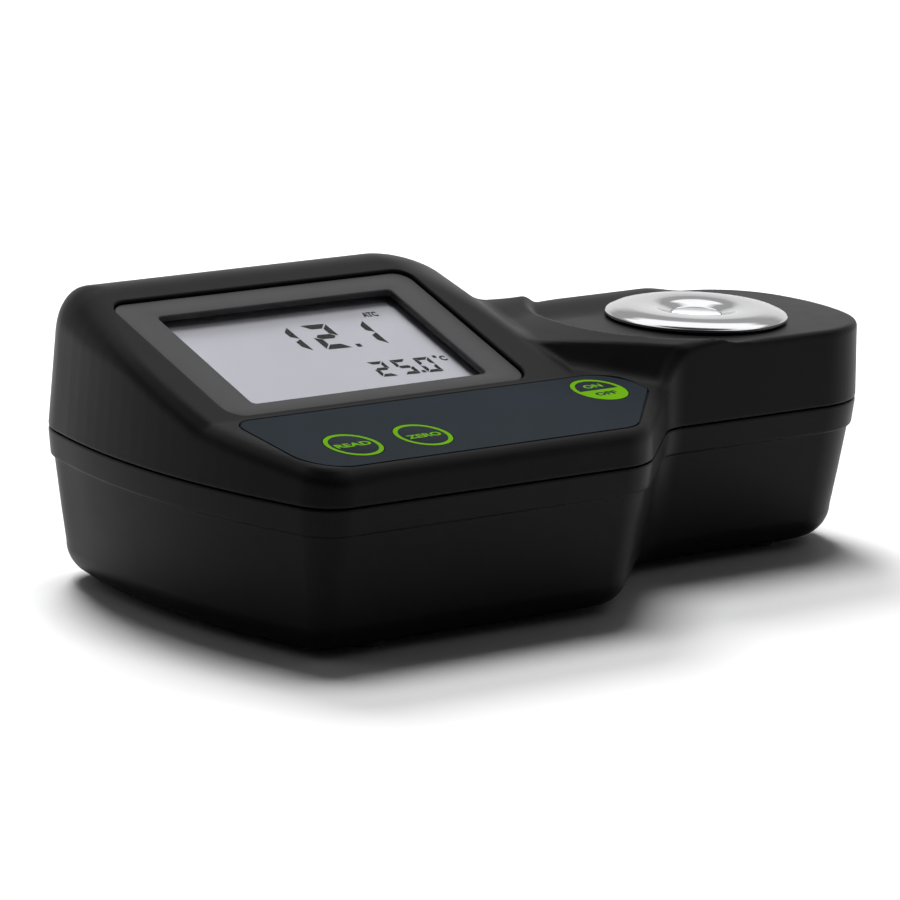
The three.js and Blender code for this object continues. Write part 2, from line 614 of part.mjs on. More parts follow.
function makeTopShell() {
  const form = saddleForm().add(displayForm()).subtract(plateauSlab(plateauHeight)).add(plateauSlab(0));
  const outside = upperWall(0).intersect(form);
  const inside = upperWall(shellWall + bandStep).intersect(form.translate([0, 0, -roofThickness]));
  const trayLength = bezel.length + (gap + trayWall) * 2;
  const trayWidth = bezel.width + (gap + trayWall) * 2;
  const shank = boardScrew.shank + gap;
  const screwBoss = caseScrew.shank + gap + bossWall;
  const added = joined([
    placed(displayFrame, moved(plate(trayLength, trayWidth, -trayFoot, bezel.radius), 0, 0, trayFoot)),
    ...boardPosts.map(([x, y]) => placed(displayFrame,
      moved(bar(shank + bossWall, trayFoot - boardTop, coarse), x, y, boardTop + gap))),
    ...keyPlaces.map(({ x, y }) => placed(panelFrame,
      moved(bar(key.plunger * 2, keySeat - plungerFoot, coarse), x, onPanel(y), plungerFoot + gap))),
    ...keyScrewPlaces.map(([x, y]) => placed(panelFrame,
      moved(bar(shank + bossWall, keyBoard.drop, coarse), x, onPanel(y), gap - keyBoard.drop))),
    ...screwPlaces.map(([x, y]) => toSolid(moved(bar(screwBoss, upperReach), x, y, upperFoot))),
  ]).intersect(outside);
  const cuts = [
    placed(displayFrame, moved(plate(bezel.length + gap * 2, bezel.width + gap * 2,
      overrun - trayFloor, bezel.radius + gap), 0, 0, trayFloor)),
    placed(displayFrame, moved(viewCut(gap, trayWall + overrun * 2), 0, 0, trayFoot - overrun)),
    ...boardPosts.map(([x, y]) => placed(displayFrame,
      moved(bar(shank, boardScrew.grip + gap + overrun, coarse), x, y, boardTop - overrun + gap))),
    placed(panelFrame, moved(extruded(overlayOutline(gap), overrun + overlay.thickness + gap), 0, 0,
      -overlay.thickness - gap)),
    ...keyPlaces.flatMap(({ x, y }) => [
      placed(panelFrame, moved(bar(key.radius + gap, overrun - keySeat, fine), x, onPanel(y), keySeat)),
      placed(panelFrame, moved(bar(key.plunger + gap, keyBoard.drop, coarse), x, onPanel(y), -keyBoard.drop)),
    ]),
    ...keyScrewPlaces.map(([x, y]) => placed(panelFrame,
      moved(bar(shank, keyScrew.grip + gap + overrun, coarse), x, onPanel(y), -keyBoard.drop - overrun))),
    ...screwPlaces.map(([x, y]) => toSolid(moved(
      bar(caseScrew.shank + gap, caseScrew.grip + gap + overrun, coarse), x, y, upperFoot - overrun))),
    placed(ringFrame, moved(bar(ring.spigot + gap, roofThickness + overrun * 2, fine),
      0, 0, -roofThickness - overrun)),
    gasketGroove(upperFoot - overrun, upperFoot + gasket.groove),
  ];
  return cutBy(outside.subtract(inside).add(added), cuts);
}

put(device, 'bottom_shell', toGeometry(makeBottomShell()), casePlastic);
put(device, 'top_shell', toGeometry(makeTopShell()), casePlastic);

function makeGasket() {
  const foot = partingHeight - gasket.groove + gap;
  const head = upperFoot + gasket.groove - gap;
  const outside = loft([{ inset: gasket.inset, z: foot }, { inset: gasket.inset, z: head }]);
  const inner = gasket.inset + gasket.width;
  return outside.subtract(loft([{ inset: inner, z: foot - overrun }, { inset: inner, z: head + overrun }]));
}

put(device, 'shell_gasket', toGeometry(makeGasket()), blackRubber);

const caseScrewLength = partingHeight - footHeight - caseScrew.seat + gap * 2 + caseScrew.grip;
screwPlaces.forEach(([x, y], i) => {
  const mesh = put(baseFrame, `case_screw_${i + 1}`, screw(caseScrew, caseScrewLength), springSteel);
  mesh.position.set(x, y, caseScrew.seat - gap);
});

footPlaces.forEach(([x, y], i) => {
  const height = footHeight + foot.sink - gap;
  const pad = turned([[0, 0], [foot.radius - foot.round, 0], [foot.radius, foot.round],
    [foot.radius, height], [0, height]]);
  put(device, `foot_${i + 1}`, pad, blackRubber).position.set(x, y, 0);
});

// Display: bezel, window, liquid crystal cell with its holder and contacts, and the main board
function makeBezel() {
  const frame = toSolid(plate(bezel.length, bezel.width, bezel.thickness, bezel.radius));
  const hole = plate(view.length, view.width, bezel.thickness + overrun * 2, view.radius);
  return frame.subtract(toSolid(moved(hole, view.shiftX, view.shiftY, -overrun)));
}

put(displayFrame, 'display_bezel', toGeometry(makeBezel()), bezelPlastic)
  .position.z = -bezel.sink - bezel.thickness;
put(displayFrame, 'display_window', plate(bezel.length, bezel.width, windowThickness, bezel.radius),
  clearPlastic).position.z = windowTop - windowThickness;
put(displayFrame, 'display_glass', viewCut(0, cell.thickness), cellGlass).position.z = cellFoot;

const contactY = cell.width / 2 - holder.ledge / 2;
const contactPlaces = [-1, 1].map((side) => view.shiftY + side * contactY);

function makeHolder() {
  const height = trayFoot - gap - holderFoot;
  const solid = toSolid(moved(plate(holderLength, holderWidth, height, view.radius),
    view.shiftX, view.shiftY, holderFoot));
  const inner = plate(cell.length - holder.ledge * 2, cell.width - holder.ledge * 2,
    height + overrun * 2, view.radius);
  const slot = () => block(contact.length + gap * 2, contact.width + gap * 2, height + overrun * 2);
  return cutBy(solid, [
    moved(viewCut(gap, height), 0, 0, cellFoot - gap),
    moved(inner, view.shiftX, view.shiftY, holderFoot - overrun),
    ...contactPlaces.map((y) => moved(slot(), view.shiftX, y, holderFoot - overrun)),
  ].map(toSolid));
}

put(displayFrame, 'display_holder', toGeometry(makeHolder()), innerPlastic);
contactPlaces.forEach((y, i) => {
  put(displayFrame, `display_contact_${i + 1}`, block(contact.length, contact.width, contact.height),
    blackRubber).position.set(view.shiftX, y, boardTop + gap);
});

function makeMainBoard() {
  const board = toSolid(plate(mainBoard.length, mainBoard.width, mainBoard.thickness, view.radius));
  return cutBy(board, boardPosts.map(([x, y]) => toSolid(moved(
    bar(boardScrew.shank + gap, mainBoard.thickness + overrun * 2, coarse), x, y, -overrun))));
}

put(displayFrame, 'main_board', toGeometry(makeMainBoard()), boardLaminate).position.z = boardFoot;
put(displayFrame, 'main_processor', block(processor.side, processor.side, processor.thickness),
  chipResin).position.z = boardFoot - gap - processor.thickness;
put(displayFrame, 'lead_socket', block(leadSocket.length, leadSocket.width, leadSocket.height),
  innerPlastic).position.set(leadSocket.x, leadSocket.y, boardFoot - gap - leadSocket.height);
boardPosts.forEach(([x, y], i) => {
  const length = mainBoard.thickness + gap * 2 + boardScrew.grip;
  put(displayFrame, `board_screw_${i + 1}`, screw(boardScrew, length), springSteel)
    .position.set(x, y, boardFoot - gap);
});

// Keys: the overlay, three keys with their plungers and domes, and the key board
function makeOverlay() {
  const film = toSolid(extruded(overlayOutline(0), overlay.thickness));
  return cutBy(film, keyPlaces.map(({ x, y }) => toSolid(moved(
    bar(key.radius + gap, overlay.thickness + overrun * 2, fine), x, onPanel(y), -overrun))));
}

put(panelFrame, 'keypad_overlay', toGeometry(makeOverlay()), overlayFilm)
  .position.z = -overlay.thickness;

keyPlaces.forEach(({ name, x, y }) => {
  const cap = turned([[0, plungerFoot], [key.plunger, plungerFoot], [key.plunger, -key.thickness],
    [key.radius, -key.thickness], [key.radius, -key.round], [key.radius - key.round, 0], [0, 0]]);
  put(panelFrame, `${name}_key`, cap, keyPlastic).position.set(x, onPanel(y), 0);
  const edge = dome.radius - dome.sheet;
  const sheet = turned([[0, dome.height - dome.sheet], [edge * 0.6, dome.height * 0.4], [edge, 0],
    [dome.radius, 0], [dome.radius * 0.66, dome.height * 0.7], [0, dome.height]], coarse);
  put(panelFrame, `${name}_dome`, sheet, springSteel).position.set(x, onPanel(y), domeFoot);
});

const keyBoardBack = panelBackY - keyBoard.fromDisplay;

function makeKeyBoard() {
  const leftX = blockEnd + keyBoard.fromEnd;
  const rightX = shoulderX + keyBoard.pastShoulder;
  const neckX = shoulderX + keyBoard.neckPastShoulder;
  const frontY = frontSide + keyBoard.fromFront;
  const tongueY = frontSide + keyBoard.tongueFromFront;
  const corners = [[leftX, frontY], [neckX - (tongueY - frontY), frontY], [neckX, tongueY],
    [rightX, tongueY], [rightX, keyBoardBack], [leftX, keyBoardBack]];
  const board = toSolid(extruded(corners.map(([x, y]) => new THREE.Vector2(x, onPanel(y))),
    keyBoard.thickness));
  return cutBy(board, keyScrewPlaces.map(([x, y]) => toSolid(moved(
    bar(boardScrew.shank + gap, keyBoard.thickness + overrun * 2, coarse), x, onPanel(y), -overrun))));
}

const keyBoardFoot = -keyBoard.drop - keyBoard.thickness;
put(panelFrame, 'key_board', toGeometry(makeKeyBoard()), boardLaminate).position.z = keyBoardFoot;
keyScrewPlaces.forEach(([x, y], i) => {
  const length = keyBoard.thickness + gap * 2 + keyScrew.grip;
  put(panelFrame, `key_board_screw_${i + 1}`, screw(boardScrew, length), springSteel)
    .position.set(x, onPanel(y), keyBoardFoot - gap);
});

// Flat cable from the key board to the main board, as points of y and z on the boards' undersides
function makeKeyCable() {
  const under = gap + ribbon.thickness / 2;
  const onBoard = (frame, y, z) => new THREE.Vector3(0, y, z).applyMatrix4(frame.matrixWorld);
  const frontEdge = -mainBoard.width / 2;
  const line = [
    onBoard(panelFrame, onPanel(keyBoardBack) - ribbon.tab, keyBoardFoot - under),
    onBoard(panelFrame, onPanel(keyBoardBack), keyBoardFoot - under),
    onBoard(displayFrame, frontEdge - ribbon.slack, boardFoot - ribbon.slack),
    onBoard(displayFrame, frontEdge, boardFoot - ribbon.slack),
    onBoard(displayFrame, frontEdge + ribbon.slack, boardFoot - under),
    onBoard(displayFrame, frontEdge + ribbon.tab, boardFoot - under),
  ];
  const half = ribbon.thickness / 2;
  const lower = line.map(({ y, z }) => new THREE.Vector2(y, z - half));
  const upper = line.map(({ y, z }) => new THREE.Vector2(y, z + half)).reverse();
  return prismAlongX(new THREE.Shape([...lower, ...upper]), ribbon.width);
}

put(device, 'key_cable', makeKeyCable(), cordSheath).position.x = blockEnd + ribbon.fromEnd;

// Sample ring, its seal, and the optics under it
const boltPlaces = [-1, 1].map((side) => [0, side * boltCircle]);
const thermistorPlace = [boltCircle * Math.cos(thermistor.angle), boltCircle * Math.sin(thermistor.angle)];

function makeRing() {
  const sealHalf = ringSeal.thickness / 2 + ringSeal.room / 2;
  const grooveTop = gap + ringSeal.thickness + ringSeal.room;
  const lipFloor = -ringWindow.depth;
  const body = toSolid(turned([
    [ring.bore, ringFoot], [ring.spigot, ringFoot], [ring.spigot, gap],
    [ringSeal.radius - sealHalf, gap], [ringSeal.radius - sealHalf, grooveTop],
    [ringSeal.radius + sealHalf, grooveTop], [ringSeal.radius + sealHalf, gap],
    [ring.radius - gap, gap], [ring.radius, gap * 2],
    ...ringDomeShares.map(({ radius, height }) => [radius * ring.radius, height * ring.crest]),
    [ringWindow.radius, ringWindow.top], [ringWindow.radius, lipFloor], [ring.bore, lipFloor],
    [ring.bore, ringFoot],
  ], fine));
  return cutBy(body, [
    ...boltPlaces.map(([x, y]) => moved(
      bar(ringScrew.shank + gap, ringScrew.grip + gap + overrun, coarse), x, y, ringFoot - overrun)),
    moved(bar(thermistor.radius + gap, thermistor.bite + gap + overrun, coarse),
      ...thermistorPlace, ringFoot - overrun),
  ].map(toSolid));
}

put(ringFrame, 'sample_ring', toGeometry(makeRing()), polishedSteel);
put(ringFrame, 'ring_seal', oRing(ringSeal.radius, ringSeal.thickness), blackRubber)
  .position.z = gap + ringSeal.thickness / 2;

function prismShape(extra) {
  const halfTop = prism.top / 2 + extra;
  const halfBase = prism.base / 2 + extra;
  return prismAlongY([[-halfBase, prismFoot - extra], [halfBase, prismFoot - extra],
    [halfTop, prismTop + extra], [-halfTop, prismTop + extra]], prism.depth + extra * 2);
}

put(ringFrame, 'prism', prismShape(0), prismGlass);

function makeOpticsBlock() {
  const roofFoot = -roofThickness - gap;
  const neck = ring.spigot + gap * 2;
  const flange = turned([[0, flangeFoot], [optics.flange, flangeFoot], [optics.flange, roofFoot],
    [neck, roofFoot], [neck, flangeTop], [0, flangeTop]], fine);
  const { half, shoulder, foot: footHalf } = optics;
  const body = prismAlongY([[-half, -shoulder], [-footHalf, opticsFoot], [footHalf, opticsFoot],
    [half, -shoulder], [half, flangeTop], [-half, flangeTop]], optics.halfDepth * 2);
  const boreLength = (prismFoot - faceZ) * Math.SQRT2;
  const lensSeat = lens.depth + lens.thickness + gap;
  const flangeDepth = optics.flangeThickness + overrun * 2;
  const ringCuts = [
    prismShape(gap),
    ...boltPlaces.map(([x, y]) => moved(
      bar(ringScrew.shank + gap, flangeDepth, coarse), x, y, flangeFoot - overrun)),
    moved(bar(thermistor.radius + gap, flangeDepth, coarse), ...thermistorPlace, flangeFoot - overrun),
  ];
  const lampCut = moved(bar(lamp.radius + gap, boreLength + overrun * 2), 0, 0, -overrun);
  const sensorCuts = [
    moved(bar(lens.radius + gap, lensSeat + overrun), 0, 0, -overrun),
    bar(lens.radius - lens.rim, boreLength + overrun),
    ...[-1, 1].map((side) => moved(bar(sensorScrew.shank + gap, sensorScrew.grip + gap + overrun, coarse),
      0, side * sensorBoard.screwY, -overrun)),
  ];
  return cutBy(placed(ringFrame, flange).add(placed(ringFrame, body)), [
    ...ringCuts.map((cut) => placed(ringFrame, cut)),
    placed(lampFrame, lampCut),
    ...sensorCuts.map((cut) => placed(sensorFrame, cut)),
  ]);
}

put(device, 'optics_block', toGeometry(makeOpticsBlock()), innerPlastic);

boltPlaces.forEach(([x, y], i) => {
  const length = optics.flangeThickness + gap * 2 + ringScrew.grip;
  put(ringFrame, `ring_screw_${i + 1}`, screw(ringScrew, length), springSteel)
    .position.set(x, y, flangeFoot - gap);
});

function makeLamp() {
  const { radius, length, flange: rim } = lamp;
  const back = -gap - lamp.flangeThickness;
  const nose = Array.from({ length: arcSteps }, (_, k) => {
    const angle = k / arcSteps * Math.PI / 2;
    return [radius * Math.cos(angle), length - radius + radius * Math.sin(angle)];
  });
  return turned([[0, back], [rim, back], [rim, -gap], [radius, -gap], ...nose, [0, length]], coarse);
}

put(lampFrame, 'lamp', makeLamp(), lampEpoxy);
put(sensorFrame, 'lens', turned([[0, 0], [lens.radius, lens.thickness / 3],
  [lens.radius, lens.thickness * 2 / 3], [0, lens.thickness]]), prismGlass).position.z = lens.depth;
put(sensorFrame, 'image_sensor', block(sensorChip.length, sensorChip.width, sensorChip.thickness),
  chipResin);

function makeSensorBoard() {
  const board = toSolid(block(sensorBoard.length, sensorBoard.width, sensorBoard.thickness));
  return cutBy(board, [-1, 1].map((side) => toSolid(moved(
    bar(sensorScrew.shank + gap, sensorBoard.thickness + overrun * 2, coarse),
    0, side * sensorBoard.screwY, -overrun))));
}

const sensorBoardBack = -gap - sensorBoard.thickness;
put(sensorFrame, 'sensor_board', toGeometry(makeSensorBoard()), boardLaminate).position.z = sensorBoardBack;
[-1, 1].forEach((side, i) => {
  const length = sensorBoard.thickness + gap * 2 + sensorScrew.grip;
  put(sensorFrame, `sensor_screw_${i + 1}`, screw(sensorScrew, length), springSteel)
    .position.set(0, side * sensorBoard.screwY, sensorBoardBack - gap);
});

put(ringFrame, 'thermistor', bar(thermistor.radius, thermistor.length, coarse), chipResin)
  .position.set(...thermistorPlace, ringFoot + thermistor.bite - thermistor.length);

put(device, 'sensor_cable', cord([[-4, 14.6, 45.4], [2, 16, 40], [26, 13, 37], [50, 11.5, 36.5],
  [66, 11, 34], [74, 8, 29], [73, 2.5, 28.2], [70, 0.3, 31.7]], sensorCableRadius), cordSheath);

// Battery bay: the cover with its lugs and seal, the pad, the battery and its snap with the lead
function makeCover() {
  const sealHalf = coverSeal.thickness / 2 + coverSeal.room;
  const grooveFloor = cover.thickness - coverSeal.thickness - gap;
  const body = toSolid(turned([[0, 0], [cover.flange, 0], [cover.flange, cover.thickness],
    [coverSeal.radius + sealHalf, cover.thickness], [coverSeal.radius + sealHalf, grooveFloor],
    [coverSeal.radius - sealHalf, grooveFloor], [coverSeal.radius - sealHalf, cover.thickness],
    [cover.neck, cover.thickness], [cover.neck, lugTop], [cover.neck - cover.neckWall, lugTop],
    [cover.neck - cover.neckWall, cover.floor], [0, cover.floor]], fine));
  const lugs = lugAngles.map((angle) => toSolid(moved(ringSector(cover.neck - cover.neckWall / 2, lugOuter,
    angle - lug.width / 2, angle + lug.width / 2, lug.height), 0, 0, lugFoot)));
  const slot = moved(block(coverSlot.length, coverSlot.width, coverSlot.depth + overrun), 0, 0, -overrun);
  return joined([body, ...lugs]).subtract(toSolid(slot));
}

put(bayFrame, 'battery_cover', toGeometry(makeCover()), casePlastic);
put(bayFrame, 'battery_cover_seal', oRing(coverSeal.radius, coverSeal.thickness), blackRubber)
  .position.z = cover.thickness - coverSeal.thickness / 2;
put(bayFrame, 'battery_pad', bar(padRadius, batteryFoot - cover.floor - gap * 2), foamPad)
  .position.z = cover.floor + gap;

function makeBattery() {
  const jacket = moved(plate(battery.length, battery.width, battery.height, battery.round),
    battery.shift, 0, batteryFoot);
  const terminals = [-1, 1].map((side) => {
    const pin = bar(terminal.radius, terminal.length + overrun);
    pin.rotateY(Math.PI / 2);
    return moved(pin, terminalX - overrun, side * terminal.y, batteryFoot + battery.height / 2);
  });
  return joined([jacket, ...terminals].map(toSolid));
}

put(bayFrame, 'battery', toGeometry(makeBattery()), batteryJacket);
put(bayFrame, 'battery_snap', block(snap.thickness, snap.width, snap.height), innerPlastic)
  .position.set(snapX, 0, batteryFoot + (battery.height - snap.height) / 2);
put(bayFrame, 'battery_lead', cord([[24, 0, 22.2], [24, 0, 24.3], [24, 0, 26.6], [23.6, 8, 30.8],
  [22.9, 16.6, 35.2], [22.8, 15.5, 39.8]], leadRadius), cordSheath);

export default device;
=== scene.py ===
"""The looks of a handheld digital refractometer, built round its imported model."""

import math

import bmesh
import bpy
import numpy as np
from mathutils import Matrix, Vector


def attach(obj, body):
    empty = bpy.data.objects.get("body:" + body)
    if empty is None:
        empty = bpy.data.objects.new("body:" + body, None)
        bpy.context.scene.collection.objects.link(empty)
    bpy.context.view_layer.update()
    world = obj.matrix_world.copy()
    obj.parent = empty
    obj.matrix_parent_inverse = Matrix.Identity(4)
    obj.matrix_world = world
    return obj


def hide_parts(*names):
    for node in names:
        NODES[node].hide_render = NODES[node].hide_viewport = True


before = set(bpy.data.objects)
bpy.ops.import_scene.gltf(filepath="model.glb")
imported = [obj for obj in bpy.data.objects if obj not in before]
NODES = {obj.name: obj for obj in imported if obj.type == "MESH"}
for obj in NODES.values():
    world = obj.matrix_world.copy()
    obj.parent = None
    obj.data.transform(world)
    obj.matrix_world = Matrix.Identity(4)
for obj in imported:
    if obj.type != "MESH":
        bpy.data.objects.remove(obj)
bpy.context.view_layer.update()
MM = 0.001

# Sizes in millimetres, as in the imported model
BODY_LENGTH = 192
BODY_WIDTH = 104
NOSE_WIDTH = 53.6
END_RADIUS, END_LEAN = 150, math.radians(14)
TIP_RADIUS, TIP_LEAN = 45, math.radians(15)
SHOULDER_X, SHOULDER_ANGLE = 0.6, math.radians(42.7)
PARTING = 33.8
TOP_FOOT = 34.1
UPPER_DRAFT = 0.05
PLATEAU = 51.3
BASE = 1.2
PANEL_TILT = math.radians(8.1)
DISPLAY_TILT = math.radians(19.8)
PANEL_BACK = -18
PANEL_FRONT = 41.7
RIDGE_RADIUS = 14.5
BOWL_RADIUS = 7.5
WALL = 3.9
ROOF = 2.6
SADDLE_X, SADDLE_Y, SADDLE_RADIUS = 51.3, 3.3, 29.8
RING_X = 58.5
BEZEL_SIZE = (81.2, 47.4)
VIEW_X, VIEW_Y = 0.2, -0.9
BAY_X = -43
KEYS = {"read": (-70.1, -38.4), "zero": (-51.3, -38.2), "power": (6.7, -27.3)}
SCREWS = [(-77.8, -36.9), (-77.8, 36.9), (80, -9), (80, 9)]
FEET = [(-64, -35.5), (-64, 35.5), (70, -9.5), (70, 9.5)]


def panel_height(y):
    return PANEL_FRONT + math.tan(PANEL_TILT) * (y + BODY_WIDTH / 2)


def display_height(y):
    return panel_height(PANEL_BACK) + math.tan(DISPLAY_TILT) * (y - PANEL_BACK)


BEZEL_X = -44.2
BEZEL_Y = PANEL_BACK + 1.8 + BEZEL_SIZE[1] / 2 * math.cos(DISPLAY_TILT)
BEZEL_PLACE = Matrix.Translation((BEZEL_X, BEZEL_Y, display_height(BEZEL_Y)))
DISPLAY = BEZEL_PLACE @ Matrix.Rotation(DISPLAY_TILT, 4, "X")
PANEL = Matrix.Translation((0, 0, panel_height(0))) @ Matrix.Rotation(PANEL_TILT, 4, "X")
RING = Matrix.Translation((RING_X, 0, PLATEAU))
BAY = Matrix.Translation((BAY_X, 0, BASE))
WORLD = Matrix.Identity(4)


# Outlines

def rounded(corners, inset=0.0, steps=8):
    """Points of a counter-clockwise polygon with a radius at each corner and its sides moved inwards."""
    corners = [(x, y, *rest, *[0] * (2 - len(rest))) for x, y, *rest in corners]
    sides = []
    for i, (x, y, *_) in enumerate(corners):
        nx, ny, *_ = corners[(i + 1) % len(corners)]
        along = np.array([nx - x, ny - y]) / math.hypot(nx - x, ny - y)
        sides.append((along, np.array([x - along[1] * inset, y + along[0] * inset])))
    points = []
    for i, (_, _, radius, least) in enumerate(corners):
        (before, start), (after, end) = sides[i - 1], sides[i]
        cross = before[0] * after[1] - before[1] * after[0]
        turn = math.atan2(cross, before @ after)
        reach = ((end - start)[0] * after[1] - (end - start)[1] * after[0]) / cross
        sign = math.copysign(1, turn)
        radius = max(radius - sign * inset, least)
        first = start + before * (reach - radius * math.tan(abs(turn) / 2))
        centre = first + np.array([-before[1], before[0]]) * sign * radius
        for k in range(steps + 1):
            c, s = math.cos(turn * k / steps), math.sin(turn * k / steps)
            d = first - centre
            points.append(centre + (c * d[0] - s * d[1], s * d[0] + c * d[1]))
    return np.array(points)


def case_outline(inset=0.0, steps=12):
    lean, tip = math.tan(END_LEAN), math.tan(TIP_LEAN)
    left = -BODY_LENGTH / 2 - END_RADIUS * (1 / math.cos(END_LEAN) - 1)
    right = BODY_LENGTH / 2 + TIP_RADIUS * (1 / math.cos(TIP_LEAN) - 1)
    half, nose = BODY_WIDTH / 2, NOSE_WIDTH / 2
    waist = SHOULDER_X + (half - nose) / math.tan(SHOULDER_ANGLE)
    front = [
        (left + half * lean, -half, 9.5, 3),
        (SHOULDER_X, -half, 16, 3),
        (waist, -nose, 12, 3),
        (right - nose * tip, -nose, 20, 3),
    ]
    back = [(x, -y, r, least) for x, y, r, least in reversed(front[1:])]
    corner = (left + half * lean, half, 18, 3)
    corners = [(left, 0, END_RADIUS, 0), *front, (right, 0, TIP_RADIUS, 0), *back, corner]
    return rounded(corners, inset, steps)


def plate(length, width, radius, inset=0.0, steps=6, x=0.0, y=0.0):
    a, b = length / 2, width / 2
    corners = [(x - a, y - b, radius, 0.05), (x + a, y - b, radius, 0.05),
               (x + a, y + b, radius, 0.05), (x - a, y + b, radius, 0.05)]
    return rounded(corners, inset, steps)


def on_panel(y):
    return y / math.cos(PANEL_TILT)


def overlay_outline(inset=0.0, steps=10):
    return rounded([
        (-87, on_panel(-48.8), 10, 0.05),
        (-0.6, on_panel(-48.8), 9, 0.05),
        (18, on_panel(-30.4), 2.2, 0.05),
        (18, on_panel(-18.8), 9.5, 0.05),
        (-87, on_panel(-18.8), 4.5, 0.05),
    ], inset, steps)


def circle(radius, steps=48, x=0.0, y=0.0):
    angles = np.arange(steps) / steps * math.tau
    return np.stack([x + radius * np.cos(angles), y + radius * np.sin(angles)], 1)


# Meshes

def mesh_of(points, faces, where=WORLD):
    mesh = bpy.data.meshes.new("mesh")
    points = np.asarray(points, float)
    turn = np.array(where.to_3x3())
    placed = (points @ turn.T + np.array(where.translation)) * MM
    mesh.from_pydata(placed.tolist(), [], [list(map(int, f)) for f in faces])
    mesh.update()
    return mesh


def rings_mesh(rings, where=WORLD, closed=True):
    """A body through rings of equally many points (x, y, z), with flat ends."""
    size = len(rings[0])
    faces = []
    for r in range(len(rings) - 1):
        for i in range(size):
            a, b = r * size + i, r * size + (i + 1) % size
            faces.append((a, b, b + size, a + size))
    if closed:
        faces.append(range(size - 1, -1, -1))
        faces.append(range((len(rings) - 1) * size, len(rings) * size))
    return mesh_of(np.concatenate(rings), faces, where)


def loft(outline, levels, where=WORLD):
    """A body from an outline and its (inset, z) levels."""
    return rings_mesh([np.column_stack([p, np.full(len(p), z)])
                       for inset, z in levels for p in [outline(inset)]], where)


def turned(profile, where=WORLD, steps=64):
    """A turned body from (radius, z) points, outside and upwards first."""
    angles = np.arange(steps) / steps * math.tau
    points, rows = [], []
    for radius, z in profile:
        rows.append((len(points), radius > 0))
        if radius > 0:
            points += [(radius * math.cos(a), radius * math.sin(a), z) for a in angles]
        else:
            points.append((0, 0, z))
    faces = []
    for (a, wide_a), (b, wide_b) in zip(rows, rows[1:]):
        for i in range(steps):
            j = (i + 1) % steps
            if wide_a and wide_b:
                faces.append((a + i, a + j, b + j, b + i))
            elif wide_a:
                faces.append((a + i, a + j, b))
            elif wide_b:
                faces.append((a, b + j, b + i))
    first, last = profile[0], profile[-1]
    if first == last and first[0] > 0:
        a, b = rows[-2][0], rows[-1][0]
        faces = [tuple(rows[0][0] + v - b if v >= b else v for v in f) for f in faces]
        points = points[:b]
    return mesh_of(points, faces, where)


def arc(cx, cz, radius, start, end, steps=5):
    """Points of an arc between two angles in degrees."""
    return [(cx + radius * math.cos(math.radians(start + (end - start) * k / steps)),
             cz + radius * math.sin(math.radians(start + (end - start) * k / steps)))
            for k in range(steps + 1)]


def drum(radius, low, high, where=WORLD, x=0.0, y=0.0, steps=48):
    return loft(lambda inset: circle(radius - inset, steps, x, y), [(0, low), (0, high)], where)


def joined(meshes):
    bm = bmesh.new()
    for mesh in meshes:
        bm.from_mesh(mesh)
    out = bpy.data.meshes.new("mesh")
    bm.to_mesh(out)
    bm.free()
    return out


def combined(mesh, cuts=(), adds=()):
    """A mesh with closed meshes added to it and then cut out of it."""
    scene = bpy.context.scene.collection
    obj = bpy.data.objects.new("work", mesh)
    scene.objects.link(obj)
    helpers = []
    for tool, how in [(t, "UNION") for t in adds] + [(t, "DIFFERENCE") for t in cuts]:
        other = bpy.data.objects.new("tool", tool)
        scene.objects.link(other)
        helpers.append(other)
        change = obj.modifiers.new("boolean", "BOOLEAN")
        change.operation = how
        change.solver = "EXACT"
        change.object = other
    graph = bpy.context.evaluated_depsgraph_get()
    out = bpy.data.meshes.new_from_object(obj.evaluated_get(graph), depsgraph=graph)
    for other in [obj, *helpers]:
        bpy.data.objects.remove(other)
    return out


def finish_piece(name, mesh, body, material, replaces=(), angle=30, weighted=False):
    bm = bmesh.new()
    bm.from_mesh(mesh)
    bmesh.ops.remove_doubles(bm, verts=bm.verts, dist=1e-7)
    bmesh.ops.recalc_face_normals(bm, faces=bm.faces)
    bm.to_mesh(mesh)
    bm.free()
    mesh.name = name
    mesh.materials.clear()
    mesh.materials.append(material)
    mesh.shade_smooth()
    mesh.set_sharp_from_angle(angle=math.radians(angle))
    obj = bpy.data.objects.new(name, mesh)
    bpy.context.scene.collection.objects.link(obj)
    if weighted:
        even = obj.modifiers.new("even_normals", "WEIGHTED_NORMAL")
        even.keep_sharp = True
        even.weight = 80
    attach(obj, body)
    if replaces:
        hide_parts(*replaces)


# The form of the top shell, as a distance to its surface

def both(a, b, radius, lean=0.0):
    """Where two solids meet, with a rounded edge; lean is the cosine between their outward normals."""
    p, q = a + radius, b + radius
    bend = (p > lean * q) & (q > lean * p)
    reach = np.sqrt(np.maximum(p * p + q * q - 2 * lean * p * q, 0) / (1 - lean * lean))
    return np.where(bend, reach - radius, np.maximum(a, b))


def either(a, b, radius, lean=0.0):
    """Two solids as one, with a rounded inner corner."""
    return -both(-a, -b, radius, lean)


def ease(t):
    t = np.clip(t, 0, 1)
    return t * t * (3 - 2 * t)


RIM = case_outline(0, 16)


